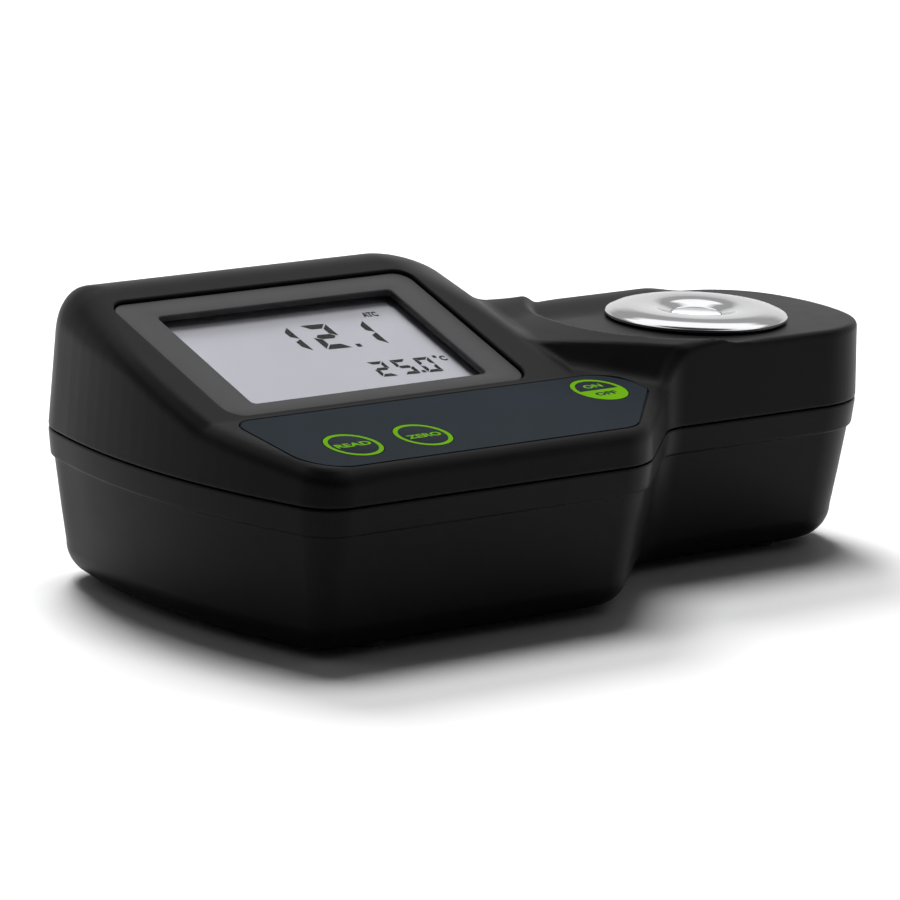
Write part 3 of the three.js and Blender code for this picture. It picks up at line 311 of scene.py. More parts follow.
def outline_distance(x, y):
    """Signed distance to the case outline, negative inside."""
    px, py = np.ravel(x), np.ravel(y)
    best = np.full(px.shape, np.inf)
    inside = np.zeros(px.shape, bool)
    for half, side in ((RIM[RIM[:, 1] <= 1e-6], py <= 0), (RIM[RIM[:, 1] >= -1e-6], py > 0)):
        half = half[np.argsort(half[:, 0], kind="stable")]
        qx, qy = px[side], np.abs(py[side])
        near, within = np.full(qx.shape, np.inf), np.zeros(qx.shape, bool)
        for (ax, ay), (bx, by) in zip(half, half[1:]):
            ay, by = abs(ay), abs(by)
            dx, dy = bx - ax, by - ay
            size = dx * dx + dy * dy
            if size < 1e-9:
                continue
            t = np.clip(((qx - ax) * dx + (qy - ay) * dy) / size, 0, 1)
            near = np.minimum(near, (qx - ax - t * dx) ** 2 + (qy - ay - t * dy) ** 2)
            if bx > ax:
                within |= (qx >= ax) & (qx < bx) & (qy < ay + dy * (qx - ax) / dx)
        best[side] = near
        inside[side] = within
    return (np.where(inside, -1, 1) * np.sqrt(best)).reshape(np.shape(x))


def top_face(x, y, z):
    panel = (z - PANEL_FRONT - math.tan(PANEL_TILT) * (y + BODY_WIDTH / 2)) * math.cos(PANEL_TILT)
    face = (z - display_height(0) - math.tan(DISPLAY_TILT) * y) * math.cos(DISPLAY_TILT)
    roll = both(face, y - BODY_WIDTH / 2 + (z - TOP_FOOT) * UPPER_DRAFT, RIDGE_RADIUS, -0.292)
    flank = (z - display_height(0) + 0.65 * (x - 7.3) - 0.28 * y) / 1.2255
    block = both(roll, flank, 2 + 5 * ease((y - 5) / 45))
    reach = np.hypot(x - SADDLE_X, y - SADDLE_Y)
    band = z - 53.35 + 0.13 * (reach - SADDLE_RADIUS) - 0.02 * y - 1.2 * ease((y - 12) / 14)
    ahead = 2.65 - 0.68 * x - 0.733 * y
    slope = (band + 0.8 * ahead) / 1.28
    dish = SADDLE_RADIUS - np.hypot(np.minimum(x - SADDLE_X, 0), y - SADDLE_Y)
    dish = dish + 0.3 * np.maximum(x - SADDLE_X, 0)
    saddle = both(both(band, slope, 2.5, 0.81), dish, 0.8 + 1.4 * ease((y - 5) / 15))
    rim = 1.7 * ease((y - 12) / 12) * ease((78 - x) / 14)
    nose = either(saddle, both(z - PLATEAU - rim, -dish - 1, 0.1), 1.5)
    strip = np.maximum(np.maximum(panel, -ahead - 3), y - 30)
    return either(np.minimum(block, strip), nose, 7, 0.77)


def edge_share(x, y):
    """How far the big back roll takes over from the small edge radius, from 0 to 1."""
    up = np.maximum(y - 34, 0)
    aside = np.maximum(-73.6 - x, 0) + np.maximum(x + 5.6, 0)
    return ease(np.arctan2(up, aside) / (math.pi / 2))


def edge_radius(x, y):
    left = 0.8 * ease((-70 - x) / 15) + 6 * ease((y - 5) / 35) * ease((-60 - x) / 20)
    return 0.05 + (2.8 + left - 1.6 * ease((x - 25) / 15)) * (1 - edge_share(x, y))


def wall_draft(x):
    """The walls of the block lean in more than those of the nose."""
    return UPPER_DRAFT - 0.022 * ease((x + 10) / 30)


def shell_field(x, y, z):
    wall = outline_distance(x, y) + (z - TOP_FOOT) * wall_draft(x)
    return both(top_face(x, y, z), wall, edge_radius(x, y))


def cavity_field(x, y, z):
    wall = outline_distance(x, y) + (z - TOP_FOOT) * wall_draft(x) + WALL
    room = both(top_face(x, y, z + ROOF), wall, np.maximum(edge_radius(x, y) - 1.8, 1))
    back = np.array(DISPLAY.inverted())
    u = back[0, 0] * x + back[0, 1] * y + back[0, 2] * z + back[0, 3]
    v = back[1, 0] * x + back[1, 1] * y + back[1, 2] * z + back[1, 3]
    w = back[2, 0] * x + back[2, 1] * y + back[2, 2] * z + back[2, 3]
    tray = np.maximum(np.maximum(np.abs(u) - 42.5, np.abs(v) - 25.6), -5.4 - w)
    return np.maximum(room, -tray)


CORNERS = np.array([(i, j, k) for i in (0, 1) for j in (0, 1) for k in (0, 1)])
EDGES = [(a, b) for a in range(8) for b in range(a + 1, 8) if np.abs(CORNERS[a] - CORNERS[b]).sum() == 1]


def net(field, low, high, step, rim):
    """A smooth net over a field's zero surface, open at its foot, whose edge lies at height rim."""
    counts = np.ceil((np.array(high) - low) / step).astype(int) + 1
    axes = [low[i] + step * np.arange(counts[i]) for i in range(3)]
    flat_x, flat_y = np.meshgrid(axes[0], axes[1], indexing="ij")
    values = np.stack([field(flat_x, flat_y, np.full(flat_x.shape, z)) for z in axes[2]], 2)
    values[values == 0] = 1e-6
    inside = values < 0
    corner = np.stack([inside[i:counts[0] - 1 + i, j:counts[1] - 1 + j, k:counts[2] - 1 + k]
                       for i, j, k in CORNERS], -1)
    mixed = corner.any(-1) & ~corner.all(-1)
    cells = np.argwhere(mixed)
    ids = np.full(mixed.shape, -1)
    ids[tuple(cells.T)] = np.arange(len(cells))
    at = np.stack([values[tuple((cells + c).T)] for c in CORNERS], 1)
    total, number = np.zeros((len(cells), 3)), np.zeros(len(cells))
    for a, b in EDGES:
        cross = (at[:, a] < 0) != (at[:, b] < 0)
        t = np.where(cross, at[:, a] / np.where(cross, at[:, a] - at[:, b], 1), 0)
        total += np.where(cross[:, None], CORNERS[a] + t[:, None] * (CORNERS[b] - CORNERS[a]), 0)
        number += cross
    points = np.array(low) + step * (cells + total / number[:, None])
    foot = cells[:, 2] == 0
    points[foot, 2] = rim
    for _ in range(3):
        value = field(*points.T)
        slope = np.stack([(field(*(points + d).T) - value) / 0.01 for d in np.eye(3) * 0.01], 1)
        slope[foot, 2] = 0
        shift = slope * (value / np.maximum((slope ** 2).sum(1), 0.2))[:, None]
        points -= np.clip(shift, -step / 2, step / 2)
    faces = []
    for axis in range(3):
        b, c = (axis + 1) % 3, (axis + 2) % 3
        here = [slice(None)] * 3
        there = [slice(None)] * 3
        here[axis], there[axis] = slice(0, -1), slice(1, None)
        turn = inside[tuple(here)] != inside[tuple(there)]
        edges = np.argwhere(turn)
        edges = edges[(edges[:, b] > 0) & (edges[:, c] > 0)
                      & (edges[:, b] < counts[b] - 1) & (edges[:, c] < counts[c] - 1)]
        ring = []
        for db, dc in ((-1, -1), (0, -1), (0, 0), (-1, 0)):
            cell = edges.copy()
            cell[:, b] += db
            cell[:, c] += dc
            ring.append(ids[tuple(cell.T)])
        quads = np.stack(ring, 1)
        outward = inside[tuple(edges.T)]
        quads[~outward] = quads[~outward][:, ::-1]
        faces.append(quads)
    return points, np.concatenate(faces)


def rim_loop(points, faces):
    """The open edge's points in order, counter-clockwise seen from above."""
    sides = np.concatenate([faces[:, [i, (i + 1) % 4]] for i in range(4)])
    there = {(int(a), int(b)) for a, b in sides}
    after = {b: a for a, b in there if (b, a) not in there}
    start = next(iter(after))
    loop = [start]
    while after[loop[-1]] != start:
        loop.append(after[loop[-1]])
    ring = points[loop]
    area = np.sum(ring[:, 0] * np.roll(ring[:, 1], -1) - np.roll(ring[:, 0], -1) * ring[:, 1])
    return loop if area > 0 else loop[::-1]


def lace(outer, inner, points):
    """Triangles between two loops of different counts."""
    angle = [np.unwrap(np.arctan2(points[k][:, 1], points[k][:, 0])) for k in (outer, inner)]
    start = int(np.argmin(np.abs((angle[1] - angle[0][0] + math.pi) % math.tau - math.pi)))
    inner = inner[start:] + inner[:start]
    along = []
    for loop in (outer, inner):
        ring = points[loop + loop[:1]]
        run = np.concatenate([[0], np.cumsum(np.linalg.norm(np.diff(ring, axis=0), axis=1))])
        along.append(run / run[-1])
    i = j = 0
    faces = []
    while i < len(outer) or j < len(inner):
        a, b = outer[i % len(outer)], inner[j % len(inner)]
        if j >= len(inner) or (i < len(outer) and along[0][i + 1] <= along[1][j + 1]):
            faces.append((a, outer[(i + 1) % len(outer)], b))
            i += 1
        else:
            faces.append((a, inner[(j + 1) % len(inner)], b))
            j += 1
    return faces


def top_shell_mesh():
    step = 0.6
    points, faces = net(shell_field, (-97.2, -53.2, 34.9), (97.5, 53.5, 66.5), step, 35.3)
    faces = [tuple(f) for f in faces]
    loop = rim_loop(points, np.array(faces))
    edge = points[loop]
    d = 0.01
    x, y = edge[:, 0], edge[:, 1]
    lean = np.stack([outline_distance(x + d, y) - outline_distance(x - d, y),
                     outline_distance(x, y + d) - outline_distance(x, y - d)], 1)
    lean /= np.linalg.norm(lean, axis=1)[:, None]
    depth = outline_distance(x, y)
    stack = [points]
    count = len(points)
    for inset, z in [(0.02, 34.7), (0.03, 34.45), (0.12, 34.24), (0.28, 34.13), (0.5, 34.1), (1.0, 34.1),
                     (1.0, 35.1), (2.5, 35.1), (2.5, 34.1), (3.8, 34.1)]:
        ring = edge[:, :2] - lean * (inset + depth)[:, None]
        stack.append(np.column_stack([ring, np.full(len(ring), z)]))
        new = list(range(count, count + len(ring)))
        faces += [(loop[i - 1], loop[i], new[i], new[i - 1]) for i in range(len(loop))]
        loop = new
        count += len(ring)
    room, walls = net(cavity_field, (-94.6, -50.6, 33.4), (94.6, 50.8, 66), 1.6, 34.1)
    stack.append(room)
    walls = [tuple(int(v) + count for v in f) for f in walls]
    every = np.concatenate(stack)
    inner = rim_loop(every, np.array(walls))
    faces += walls + lace(loop, inner, every)
    return mesh_of(every, faces)


# Materials

def ramp_points(node, points):
    ramp = node.color_ramp
    while len(ramp.elements) > 1:
        ramp.elements.remove(ramp.elements[-1])
    for i, (place, value) in enumerate(points):
        element = ramp.elements[0] if i == 0 else ramp.elements.new(place)
        element.position = place
        element.color = (*value, 1) if hasattr(value, "__len__") else (value, value, value, 1)


def surface(name, color, roughness, grain=0.0, grain_size=0.3, spread=0.15, metallic=0.0, patch=12.0,
            **sockets):
    """A material whose colour and gloss vary slowly, with a fine grain in its surface."""
    material = bpy.data.materials.new(name)
    material.use_nodes = True
    nodes, links = material.node_tree.nodes, material.node_tree.links
    shader = nodes["Principled BSDF"]
    shader.inputs["Metallic"].default_value = metallic
    for socket, value in sockets.items():
        shader.inputs[socket.replace("_", " ")].default_value = value
    place = nodes.new("ShaderNodeTexCoord")
    slow = nodes.new("ShaderNodeTexNoise")
    slow.inputs["Scale"].default_value = 1 / (patch * MM)
    slow.inputs["Detail"].default_value = 4
    links.new(place.outputs["Object"], slow.inputs["Vector"])
    tint = nodes.new("ShaderNodeValToRGB")
    color = np.array(color)
    light = np.minimum(color * (1 + spread), 1)
    ramp_points(tint, [(0.3, tuple(color * (1 - spread))), (0.7, tuple(light))])
    links.new(slow.outputs["Fac"], tint.inputs["Fac"])
    links.new(tint.outputs["Color"], shader.inputs["Base Color"])
    gloss = nodes.new("ShaderNodeMapRange")
    gloss.inputs["To Min"].default_value = max(roughness - 0.06, 0.01)
    gloss.inputs["To Max"].default_value = min(roughness + 0.06, 1)
    links.new(slow.outputs["Fac"], gloss.inputs["Value"])
    links.new(gloss.outputs["Result"], shader.inputs["Roughness"])
    if grain:
        fine = nodes.new("ShaderNodeTexNoise")
        fine.inputs["Scale"].default_value = 1 / (grain_size * MM)
        fine.inputs["Detail"].default_value = 2
        links.new(place.outputs["Object"], fine.inputs["Vector"])
        bump = nodes.new("ShaderNodeBump")
        bump.inputs["Strength"].default_value = grain
        bump.inputs["Distance"].default_value = grain_size * MM * 0.25
        links.new(fine.outputs["Fac"], bump.inputs["Height"])
        links.new(bump.outputs["Normal"], shader.inputs["Normal"])
    return material


def clear(name, color, roughness, haze=0.0):
    """A thin clear sheet: what lies under it shows, and its face mirrors a little."""
    material = bpy.data.materials.new(name)
    material.use_nodes = True
    nodes, links = material.node_tree.nodes, material.node_tree.links
    nodes.remove(nodes["Principled BSDF"])
    through = nodes.new("ShaderNodeBsdfTransparent")
    through.inputs["Color"].default_value = (*color, 1)
    mirror = nodes.new("ShaderNodeBsdfGlossy")
    place = nodes.new("ShaderNodeTexCoord")
    smear = nodes.new("ShaderNodeTexNoise")
    smear.inputs["Scale"].default_value = 60
    smear.inputs["Detail"].default_value = 3
    links.new(place.outputs["Object"], smear.inputs["Vector"])
    gloss = nodes.new("ShaderNodeMapRange")
    gloss.inputs["To Min"].default_value = roughness
    gloss.inputs["To Max"].default_value = roughness + haze
    links.new(smear.outputs["Fac"], gloss.inputs["Value"])
    links.new(gloss.outputs["Result"], mirror.inputs["Roughness"])
    fresnel = nodes.new("ShaderNodeFresnel")
    fresnel.inputs["IOR"].default_value = 1.2
    side = nodes.new("ShaderNodeNewGeometry")
    front = nodes.new("ShaderNodeMath")
    front.operation = "SUBTRACT"
    front.inputs[0].default_value = 1
    links.new(side.outputs["Backfacing"], front.inputs[1])
    share = nodes.new("ShaderNodeMath")
    share.operation = "MULTIPLY"
    links.new(fresnel.outputs["Fac"], share.inputs[0])
    links.new(front.outputs["Value"], share.inputs[1])
    mix = nodes.new("ShaderNodeMixShader")
    links.new(share.outputs["Value"], mix.inputs["Fac"])
    links.new(through.outputs["BSDF"], mix.inputs[1])
    links.new(mirror.outputs["BSDF"], mix.inputs[2])
    links.new(mix.outputs["Shader"], nodes["Material Output"].inputs["Surface"])
    return material


CASE = surface("case_black", (0.0048, 0.0048, 0.005), 0.4, grain=0.25, grain_size=0.35,
               Specular_IOR_Level=0.07)
BEZEL = surface("bezel_black", (0.036, 0.036, 0.037), 0.45, grain=0.2, grain_size=0.25,
                Specular_IOR_Level=0.25)
FILM = surface("overlay_film", (0.013, 0.018, 0.023), 0.55, grain=0.35, grain_size=0.18, spread=0.12,
               Specular_IOR_Level=0.03)
GREEN = surface("legend_green", (0.115, 0.31, 0.0035), 0.55, grain=0.3, grain_size=0.18, spread=0.05,
                Specular_IOR_Level=0.03)
STEEL = surface("ring_steel", (0.5, 0.5, 0.51), 0.05, grain=0.02, grain_size=1.2, metallic=1.0, spread=0.02)
WINDOW = clear("window_clear", (0.97, 0.97, 0.98), 0.02, 0.03)
LCD = surface("lcd_grey", (0.5, 0.5, 0.53), 0.5, spread=0.03, patch=20, Specular_IOR_Level=0.1)
INK = surface("lcd_ink", (0.004, 0.0037, 0.005), 0.8, spread=0.1, Specular_IOR_Level=0.0)
# Painted reflection: the prism glass is drawn as a near-white diffuse surface, standing in for the bright
# reflection seen in it
PRISM_PAINTED_REFLECTION = surface("prism_painted_reflection", (0.86, 0.88, 0.89), 0.06, spread=0.02)
RUBBER = surface("rubber_black", (0.01, 0.01, 0.01), 0.75, grain=0.6, grain_size=0.5)
BOARD = surface("board_green", (0.02, 0.12, 0.05), 0.45, grain=0.3, grain_size=1.0, spread=0.25, patch=4)
CHIP = surface("chip_black", (0.012, 0.012, 0.012), 0.5, grain=0.4, grain_size=0.2)
INNER = surface("inner_black", (0.03, 0.03, 0.031), 0.6, grain=0.4, grain_size=0.4)
SPRING = surface("screw_steel", (0.55, 0.55, 0.54), 0.3, grain=0.1, grain_size=0.5, metallic=1.0,
                 spread=0.1)
EPOXY = surface("lamp_amber", (0.75, 0.38, 0.03), 0.15, spread=0.05)
JACKET = surface("battery_grey", (0.06, 0.07, 0.08), 0.3, grain=0.1, spread=0.3, patch=6)
FOAM = surface("foam_grey", (0.05, 0.05, 0.06), 0.95, grain=1.0, grain_size=0.8, spread=0.3, patch=2)
SHEATH = surface("cord_grey", (0.09, 0.09, 0.09), 0.55, grain=0.3, grain_size=0.4)

BY_SLOT = {
    "case_plastic": CASE, "bezel_plastic": BEZEL, "overlay_film": FILM, "key_plastic": GREEN,
    "clear_plastic": WINDOW, "cell_glass": LCD, "polished_steel": STEEL, "prism_glass": PRISM_PAINTED_REFLECTION,
    "black_rubber": RUBBER, "board_laminate": BOARD, "chip_resin": CHIP, "inner_plastic": INNER,
    "spring_steel": SPRING, "lamp_epoxy": EPOXY, "battery_jacket": JACKET, "foam_pad": FOAM,
    "cord_sheath": SHEATH,
}
for node in NODES.values():
    for place in node.material_slots:
        base = place.material.name.split(".")[0]
        place.material = BY_SLOT[base]


# Case

def flared(floor, radius, steps=4):
    """Levels of a pocket whose edge at z = 0 is rounded: growth and z."""
    curve = [(radius * (1 - math.cos(a)), -radius * (1 - math.sin(a)))
             for a in np.linspace(0, math.pi / 2, steps + 1)]
    return [(0, floor), *[(grow, z) for grow, z in curve], (radius + 0.001, 1.5)]


def key_ring(radius, low, high, name, steps=48):
    x, y = KEYS[name]
    return drum(radius, low, high, PANEL, x, on_panel(y), steps)


def make_top_shell():
    cuts = [
        loft(lambda grow: plate(81.8, 48, 4.3, -grow), flared(-3.8, 0.5), DISPLAY),
        loft(lambda grow: plate(70.6, 41.6, 1.2, -grow, x=VIEW_X, y=VIEW_Y), [(0, -8), (0, -2)], DISPLAY),
        loft(lambda grow: overlay_outline(-0.3 - grow), flared(-0.7, 0.3), PANEL),
        *[key_ring(6.8, -1.62, 1, name) for name in KEYS],
        *[key_ring(2.3, -7, 0, name, 24) for name in KEYS],
        drum(13.7, -4, 1, RING, steps=64),
    ]
    shell = combined(top_shell_mesh(), cuts)
    posts = [drum(2.7, -9.4, -5, DISPLAY, x, y, 20) for x in (-39.9, 40.3) for y in (-21, 21)]
    posts += [drum(2.7, -5.3, -1.6, PANEL, x, on_panel(y), 20) for x, y in ((-60.7, -27), (-14, -38))]
    for x, y in SCREWS:
        roof = PLATEAU if x > 0 else panel_height(y) if y < PANEL_BACK else display_height(y)
        posts.append(drum(3.1, TOP_FOOT, roof - 2.5, WORLD, x, y, 24))
    return joined([shell, *posts])


finish_piece("top_case", make_top_shell(), "case", CASE, ["top_shell"],
             weighted=True)


def bowl_levels():
    centre, middle, inner = 12, BASE + BOWL_RADIUS, 5.1
    outside = [(centre - BOWL_RADIUS * math.sin(a), middle - BOWL_RADIUS * math.cos(a))
               for a in np.linspace(0, math.pi / 2, 13)]
    outside += [(3.1, 17), (1.62, 26.6), (1.55, 27.3), (1.45, 27.6), (1.15, 27.75), (0.8, 27.88)]
    outside += [(0.66, 28.05), (0.6, 28.4), (0.05, 33.2), (0.1, 33.5), (0.22, 33.7), (0.45, PARTING)]
    outside += [(1.0, PARTING), (1.0, 32.8), (2.5, 32.8), (2.5, PARTING), (WALL, PARTING)]
    inside = [(WALL, 27.7), (6.9, 8.7)]
    inside += [(centre - inner * math.sin(a), middle - inner * math.cos(a))
               for a in np.linspace(math.pi / 2, 0, 7)[1:]]
    return outside + inside


def make_bottom_shell():
    adds = [drum(35.6, 0.5, 4.8, BAY, steps=96), drum(33.2, 0.5, 26.2, BAY, steps=96)]
    adds += [drum(4.2, BASE + 0.5, 33.2, WORLD, x, y, 32) for x, y in SCREWS]
    cuts = [
        loft(lambda grow: circle(34.3 + grow, 96),
             [(0.3, -1), (0.3, 0), (0.1, 0.1), (0, 0.3), (0, 2.1)], BAY),
        drum(28.4, 1, 5, BAY, steps=96), drum(31.6, 4.5, 24.6, BAY, steps=96),
    ]
    cuts += [loft(lambda grow: circle(5.3 + grow, 40), [(0.2, -1), (0.2, 0), (0, 0.2), (0, 0.6)],
                  Matrix.Translation((x, y, BASE))) for x, y in FEET]
    cuts += [loft(lambda grow: circle(2.9 + grow, 32), [(0.2, -1), (0.2, 0), (0, 0.2), (0, 6)],
                  Matrix.Translation((x, y, BASE))) for x, y in SCREWS]
    cuts += [drum(1.8, 5, 40, WORLD, x, y, 20) for x, y in SCREWS]
    return combined(loft(case_outline, bowl_levels()), cuts, adds)


finish_piece("bottom_case", make_bottom_shell(), "case", CASE, ["bottom_shell"],
             weighted=True)


# Display

def frame_mesh(outline, hole, levels, where):
    """A closed frame: the outline's levels of inset and z up the outside, then down the hole's sides."""
    outer = [(outline, inset, z) for inset, z in levels]
    rings = [np.column_stack([shape(inset), np.full(len(shape(inset)), z)])
             for shape, inset, z in outer + hole]
    rings.append(rings[0])
    size = len(rings[0])
    faces = []
    for r in range(len(rings) - 1):
        for i in range(size):
            j = (i + 1) % size
            after = (r + 1) % (len(rings) - 1)
            faces.append((r * size + i, r * size + j, after * size + j, after * size + i))
    return mesh_of(np.concatenate(rings[:-1]), faces, where)


def bezel_outline(inset):
    return plate(*BEZEL_SIZE, 4, inset)


def view_outline(inset):
    return plate(64, 36.6, 1.2, inset, x=VIEW_X, y=VIEW_Y)


bezel_mesh = frame_mesh(
    bezel_outline,
    [(view_outline, -0.5, -0.7), (view_outline, -0.2, -0.78), (view_outline, 0, -1.0),
     (view_outline, 0, -2.2)],
    [(0, -2.2), (0, -1.0), (0.15, -0.78), (0.4, -0.7)], DISPLAY)
finish_piece("bezel_frame", bezel_mesh, "case", BEZEL, ["display_bezel"])
finish_piece("window_pane", loft(bezel_outline, [(0.1, -3.5), (0, -3.4), (0, -2.6), (0.1, -2.5)], DISPLAY),
             "case", WINDOW, ["display_window"])
finish_piece("lcd_cell", loft(lambda inset: plate(70, 41, 1.2, inset, x=VIEW_X, y=VIEW_Y),
                              [(0, -6.4), (0, -3.9), (0.1, -3.8)], DISPLAY),
             "case", LCD, ["display_glass"])

DIGITS = {"0": "abcdef", "1": "bc", "2": "abged", "5": "afgcd"}


def on_cell(x, y):
    """A place on the display cell: its rows run slightly down to the right."""
    return x - 0.04 * y, y - 0.045 * (x - 0.7)


def segment_bars(digit, x, y, width, height, thick, split=0.3):
    """The bars of a seven-segment digit, mitred where they meet; x and y are its lower left corner."""
    t, middle = thick, height / 2
    top = [(split, height), (t + split, height - t), (width - t - split, height - t),
           (width - split, height)]
    side = [(width, height - split), (width - t, height - t - split), (width - t, middle + t / 2 + split),
            (width, middle + split / 2)]
    bar = [(t / 2, middle), (t, middle + t / 2), (width - t, middle + t / 2), (width - t / 2, middle),
           (width - t, middle - t / 2), (t, middle - t / 2)]
    shapes = {
        "a": top, "b": side, "g": bar,
        "c": [(px, height - py) for px, py in side], "d": [(px, height - py) for px, py in top],
        "f": [(width - px, py) for px, py in side], "e": [(width - px, height - py) for px, py in side],
    }
    return [[on_cell(x + px, y + py) for px, py in shapes[name]] for name in DIGITS[digit]]


def flat_bar(shape, low, high, where):
    ring = np.array(shape)
    return rings_mesh([np.column_stack([ring, np.full(len(ring), z)]) for z in (low, high)], where)


def lettering(text, size, width, heavy, thick):
    """Letters as a mesh in millimetres, their capitals size high and the whole text width long."""
    curve = bpy.data.curves.new("text", "FONT")
    curve.body = text
    curve.size = 10
    curve.offset = heavy
    curve.extrude = 0.5
    curve.resolution_u = 4
    obj = bpy.data.objects.new("text", curve)
    bpy.context.scene.collection.objects.link(obj)
    graph = bpy.context.evaluated_depsgraph_get()
    mesh = bpy.data.meshes.new_from_object(obj.evaluated_get(graph), depsgraph=graph)
    bpy.data.objects.remove(obj)
    points = np.array([v.co for v in mesh.vertices])
    low, high = points.min(0), points.max(0)
    points = (points - (low + high) / 2) / (high - low) * (width, size, thick)
    faces = [list(f.vertices) for f in mesh.polygons]
    return points, faces


def make_lcd_marks():
    bars = []
    for digit, x in (("1", -6.2), ("2", 4.2), ("1", 14.1)):
        bars += segment_bars(digit, x, 1.8, 6.8, 10.2, 1.75, 0.25)
    for digit, x in (("2", 9.6), ("5", 15.7), ("0", 21.9)):
        bars += segment_bars(digit, x, -10.9, 4.1, 6.1, 1, 0.18)
    for x, y, size in ((13, 2.3, 1.2), (21.0, -10.3, 0.9), (27.8, -5.0, 0.9)):
        half = size / 2
        corners = ((-half, -half), (half, -half), (half, half), (-half, half))
        bars.append([on_cell(x + a, y + b) for a, b in corners])
    meshes = [flat_bar(bar, -3.79, -3.74, DISPLAY) for bar in bars]
    for text, size, width, x, y in (("C", 2.0, 1.7, 29.5, -5.9), ("ATC", 1.9, 4.0, 24.7, 14.1)):
        points, faces = lettering(text, size, width, 0.4, 0.05)
        places = np.array([[*on_cell(x + px, y + py), -3.765 + pz] for px, py, pz in points])
        meshes.append(mesh_of(places, faces, DISPLAY))
    return joined(meshes)


finish_piece("lcd_marks", make_lcd_marks(), "case", INK)


# Key panel

film = combined(
    loft(overlay_outline, [(0, -0.4), (0, -0.08), (0.03, -0.02), (0.1, 0)], PANEL),
    [key_ring(6.62, -1, 1, name) for name in KEYS])
finish_piece("membrane", film, "case", FILM, ["keypad_overlay"], weighted=True)

for name, (x, y) in KEYS.items():
    place = PANEL @ Matrix.Translation((x, on_panel(y), 0))
    profile = [(0, -4.2), (2, -4.2), (2, -1), (6.5, -1), *arc(6.35, -0.15, 0.15, 0, 90, 3), (0, 0)]
    cap = turned(profile, place)
    finish_piece(f"{name}_cap", cap, f"{name}_key", FILM, [f"{name}_key"])


PRINT_LOW, PRINT_TOP = -0.005, 0.018
LETTER_THICKNESS = 0.025


def letters_on(name, text, size, width, y, low=PRINT_LOW):
    points, faces = lettering(text, size, width, 0.35, LETTER_THICKNESS)
    x0, y0 = KEYS[name]
    return mesh_of(points + (x0, on_panel(y0) + y, low + LETTER_THICKNESS / 2), faces, PANEL)


def print_ring(name, outer, inner):
    x, y = KEYS[name]
    corners = [(outer, PRINT_LOW), (outer, PRINT_TOP), (inner, PRINT_TOP), (inner, PRINT_LOW)]
    corners.append(corners[0])
    rings = [np.column_stack([circle(r, 96, x, on_panel(y)), np.full(96, z)]) for r, z in corners]
    return rings_mesh(rings, PANEL, closed=False)


def print_half(name, radius):
    """The lower half of a round print."""
    x, y = KEYS[name]
    angles = np.linspace(math.pi, math.tau, 49)
    ring = np.column_stack([x + radius * np.cos(angles), on_panel(y) + radius * np.sin(angles)])
    return flat_bar(ring, PRINT_LOW, PRINT_TOP - 0.001, PANEL)


prints = {
    "read": [print_ring("read", 6.4, 5.4), letters_on("read", "READ", 2.1, 9.2, 0.15)],
    "zero": [print_ring("zero", 6.4, 5.4), letters_on("zero", "ZERO", 2.0, 8.9, -0.3)],
    "power": [print_ring("power", 6.4, 5.35), print_half("power", 5.6),
              letters_on("power", "ON", 1.95, 5, 2.3)],
}
for name, meshes in prints.items():
    finish_piece(f"{name}_print", joined(meshes), f"{name}_key", GREEN)
finish_piece("power_print_off", letters_on("power", "OFF", 1.9, 5.8, -2.4, low=0.012), "power_key",
             FILM)


# Sample ring

DOME = [(20.3, 0.3), (20.6, 0.6), (20.6, 1.1), (20.29, 1.42), (19.57, 1.78), (18.13, 2.3), (16.07, 2.7),
        (14.01, 2.8), (12.15, 2.72), (10.51, 2.56), (9.06, 2.26), (7.93, 1.86), (6.1, 1.3)]


def smooth_line(points, steps=14):
    """A smooth line through points."""
    points = np.array(points, float)
    padded = np.concatenate([[2 * points[0] - points[1]], points, [2 * points[-1] - points[-2]]])
    out = []
    for a, b, c, d in zip(padded, padded[1:], padded[2:], padded[3:]):
        for k in range(steps):
            t = k / steps
            out.append(0.5 * (2 * b + (c - a) * t + (2 * a - 5 * b + 4 * c - d) * t ** 2
                              + (3 * b - a - 3 * c + d) * t ** 3))
    out.append(points[-1])
    return [tuple(p) for p in out]


ring_profile = [(8.4, -5.2), (13.4, -5.2), (13.4, 0.3), (20.3, 0.3), (20.6, 0.6), *smooth_line(DOME[2:]),
                (5.75, 1.2), (5.7, 1.15), (5.7, -1.5), (8.4, -1.5), (8.4, -5.2)]
finish_piece("ring_dome", turned(ring_profile, RING, 256), "case", STEEL, ["sample_ring"],
             angle=40)

# The prism's face inside the ring: its near-white colour is a painted reflection, in place of clear glass
face_profile = [(0, -1.75), (5.6, -1.75), (5.6, 0.9), *arc(5.5, 0.9, 0.1, 0, 90, 3), (0, 1)]
window_face = turned(face_profile, RING, 96)
finish_piece("prism_face", window_face, "case", PRISM_PAINTED_REFLECTION)


# Feet

for i, (x, y) in enumerate(FEET):
    pad = turned([(0, 0), (4.7, 0), *arc(4.7, 0.3, 0.3, -90, 0, 3), (5, 1.5), (0, 1.5)],
                 Matrix.Translation((x, y, 0)), 40)
    finish_piece(f"rubber_foot_{i + 1}", pad, "case", RUBBER, [f"foot_{i + 1}"])


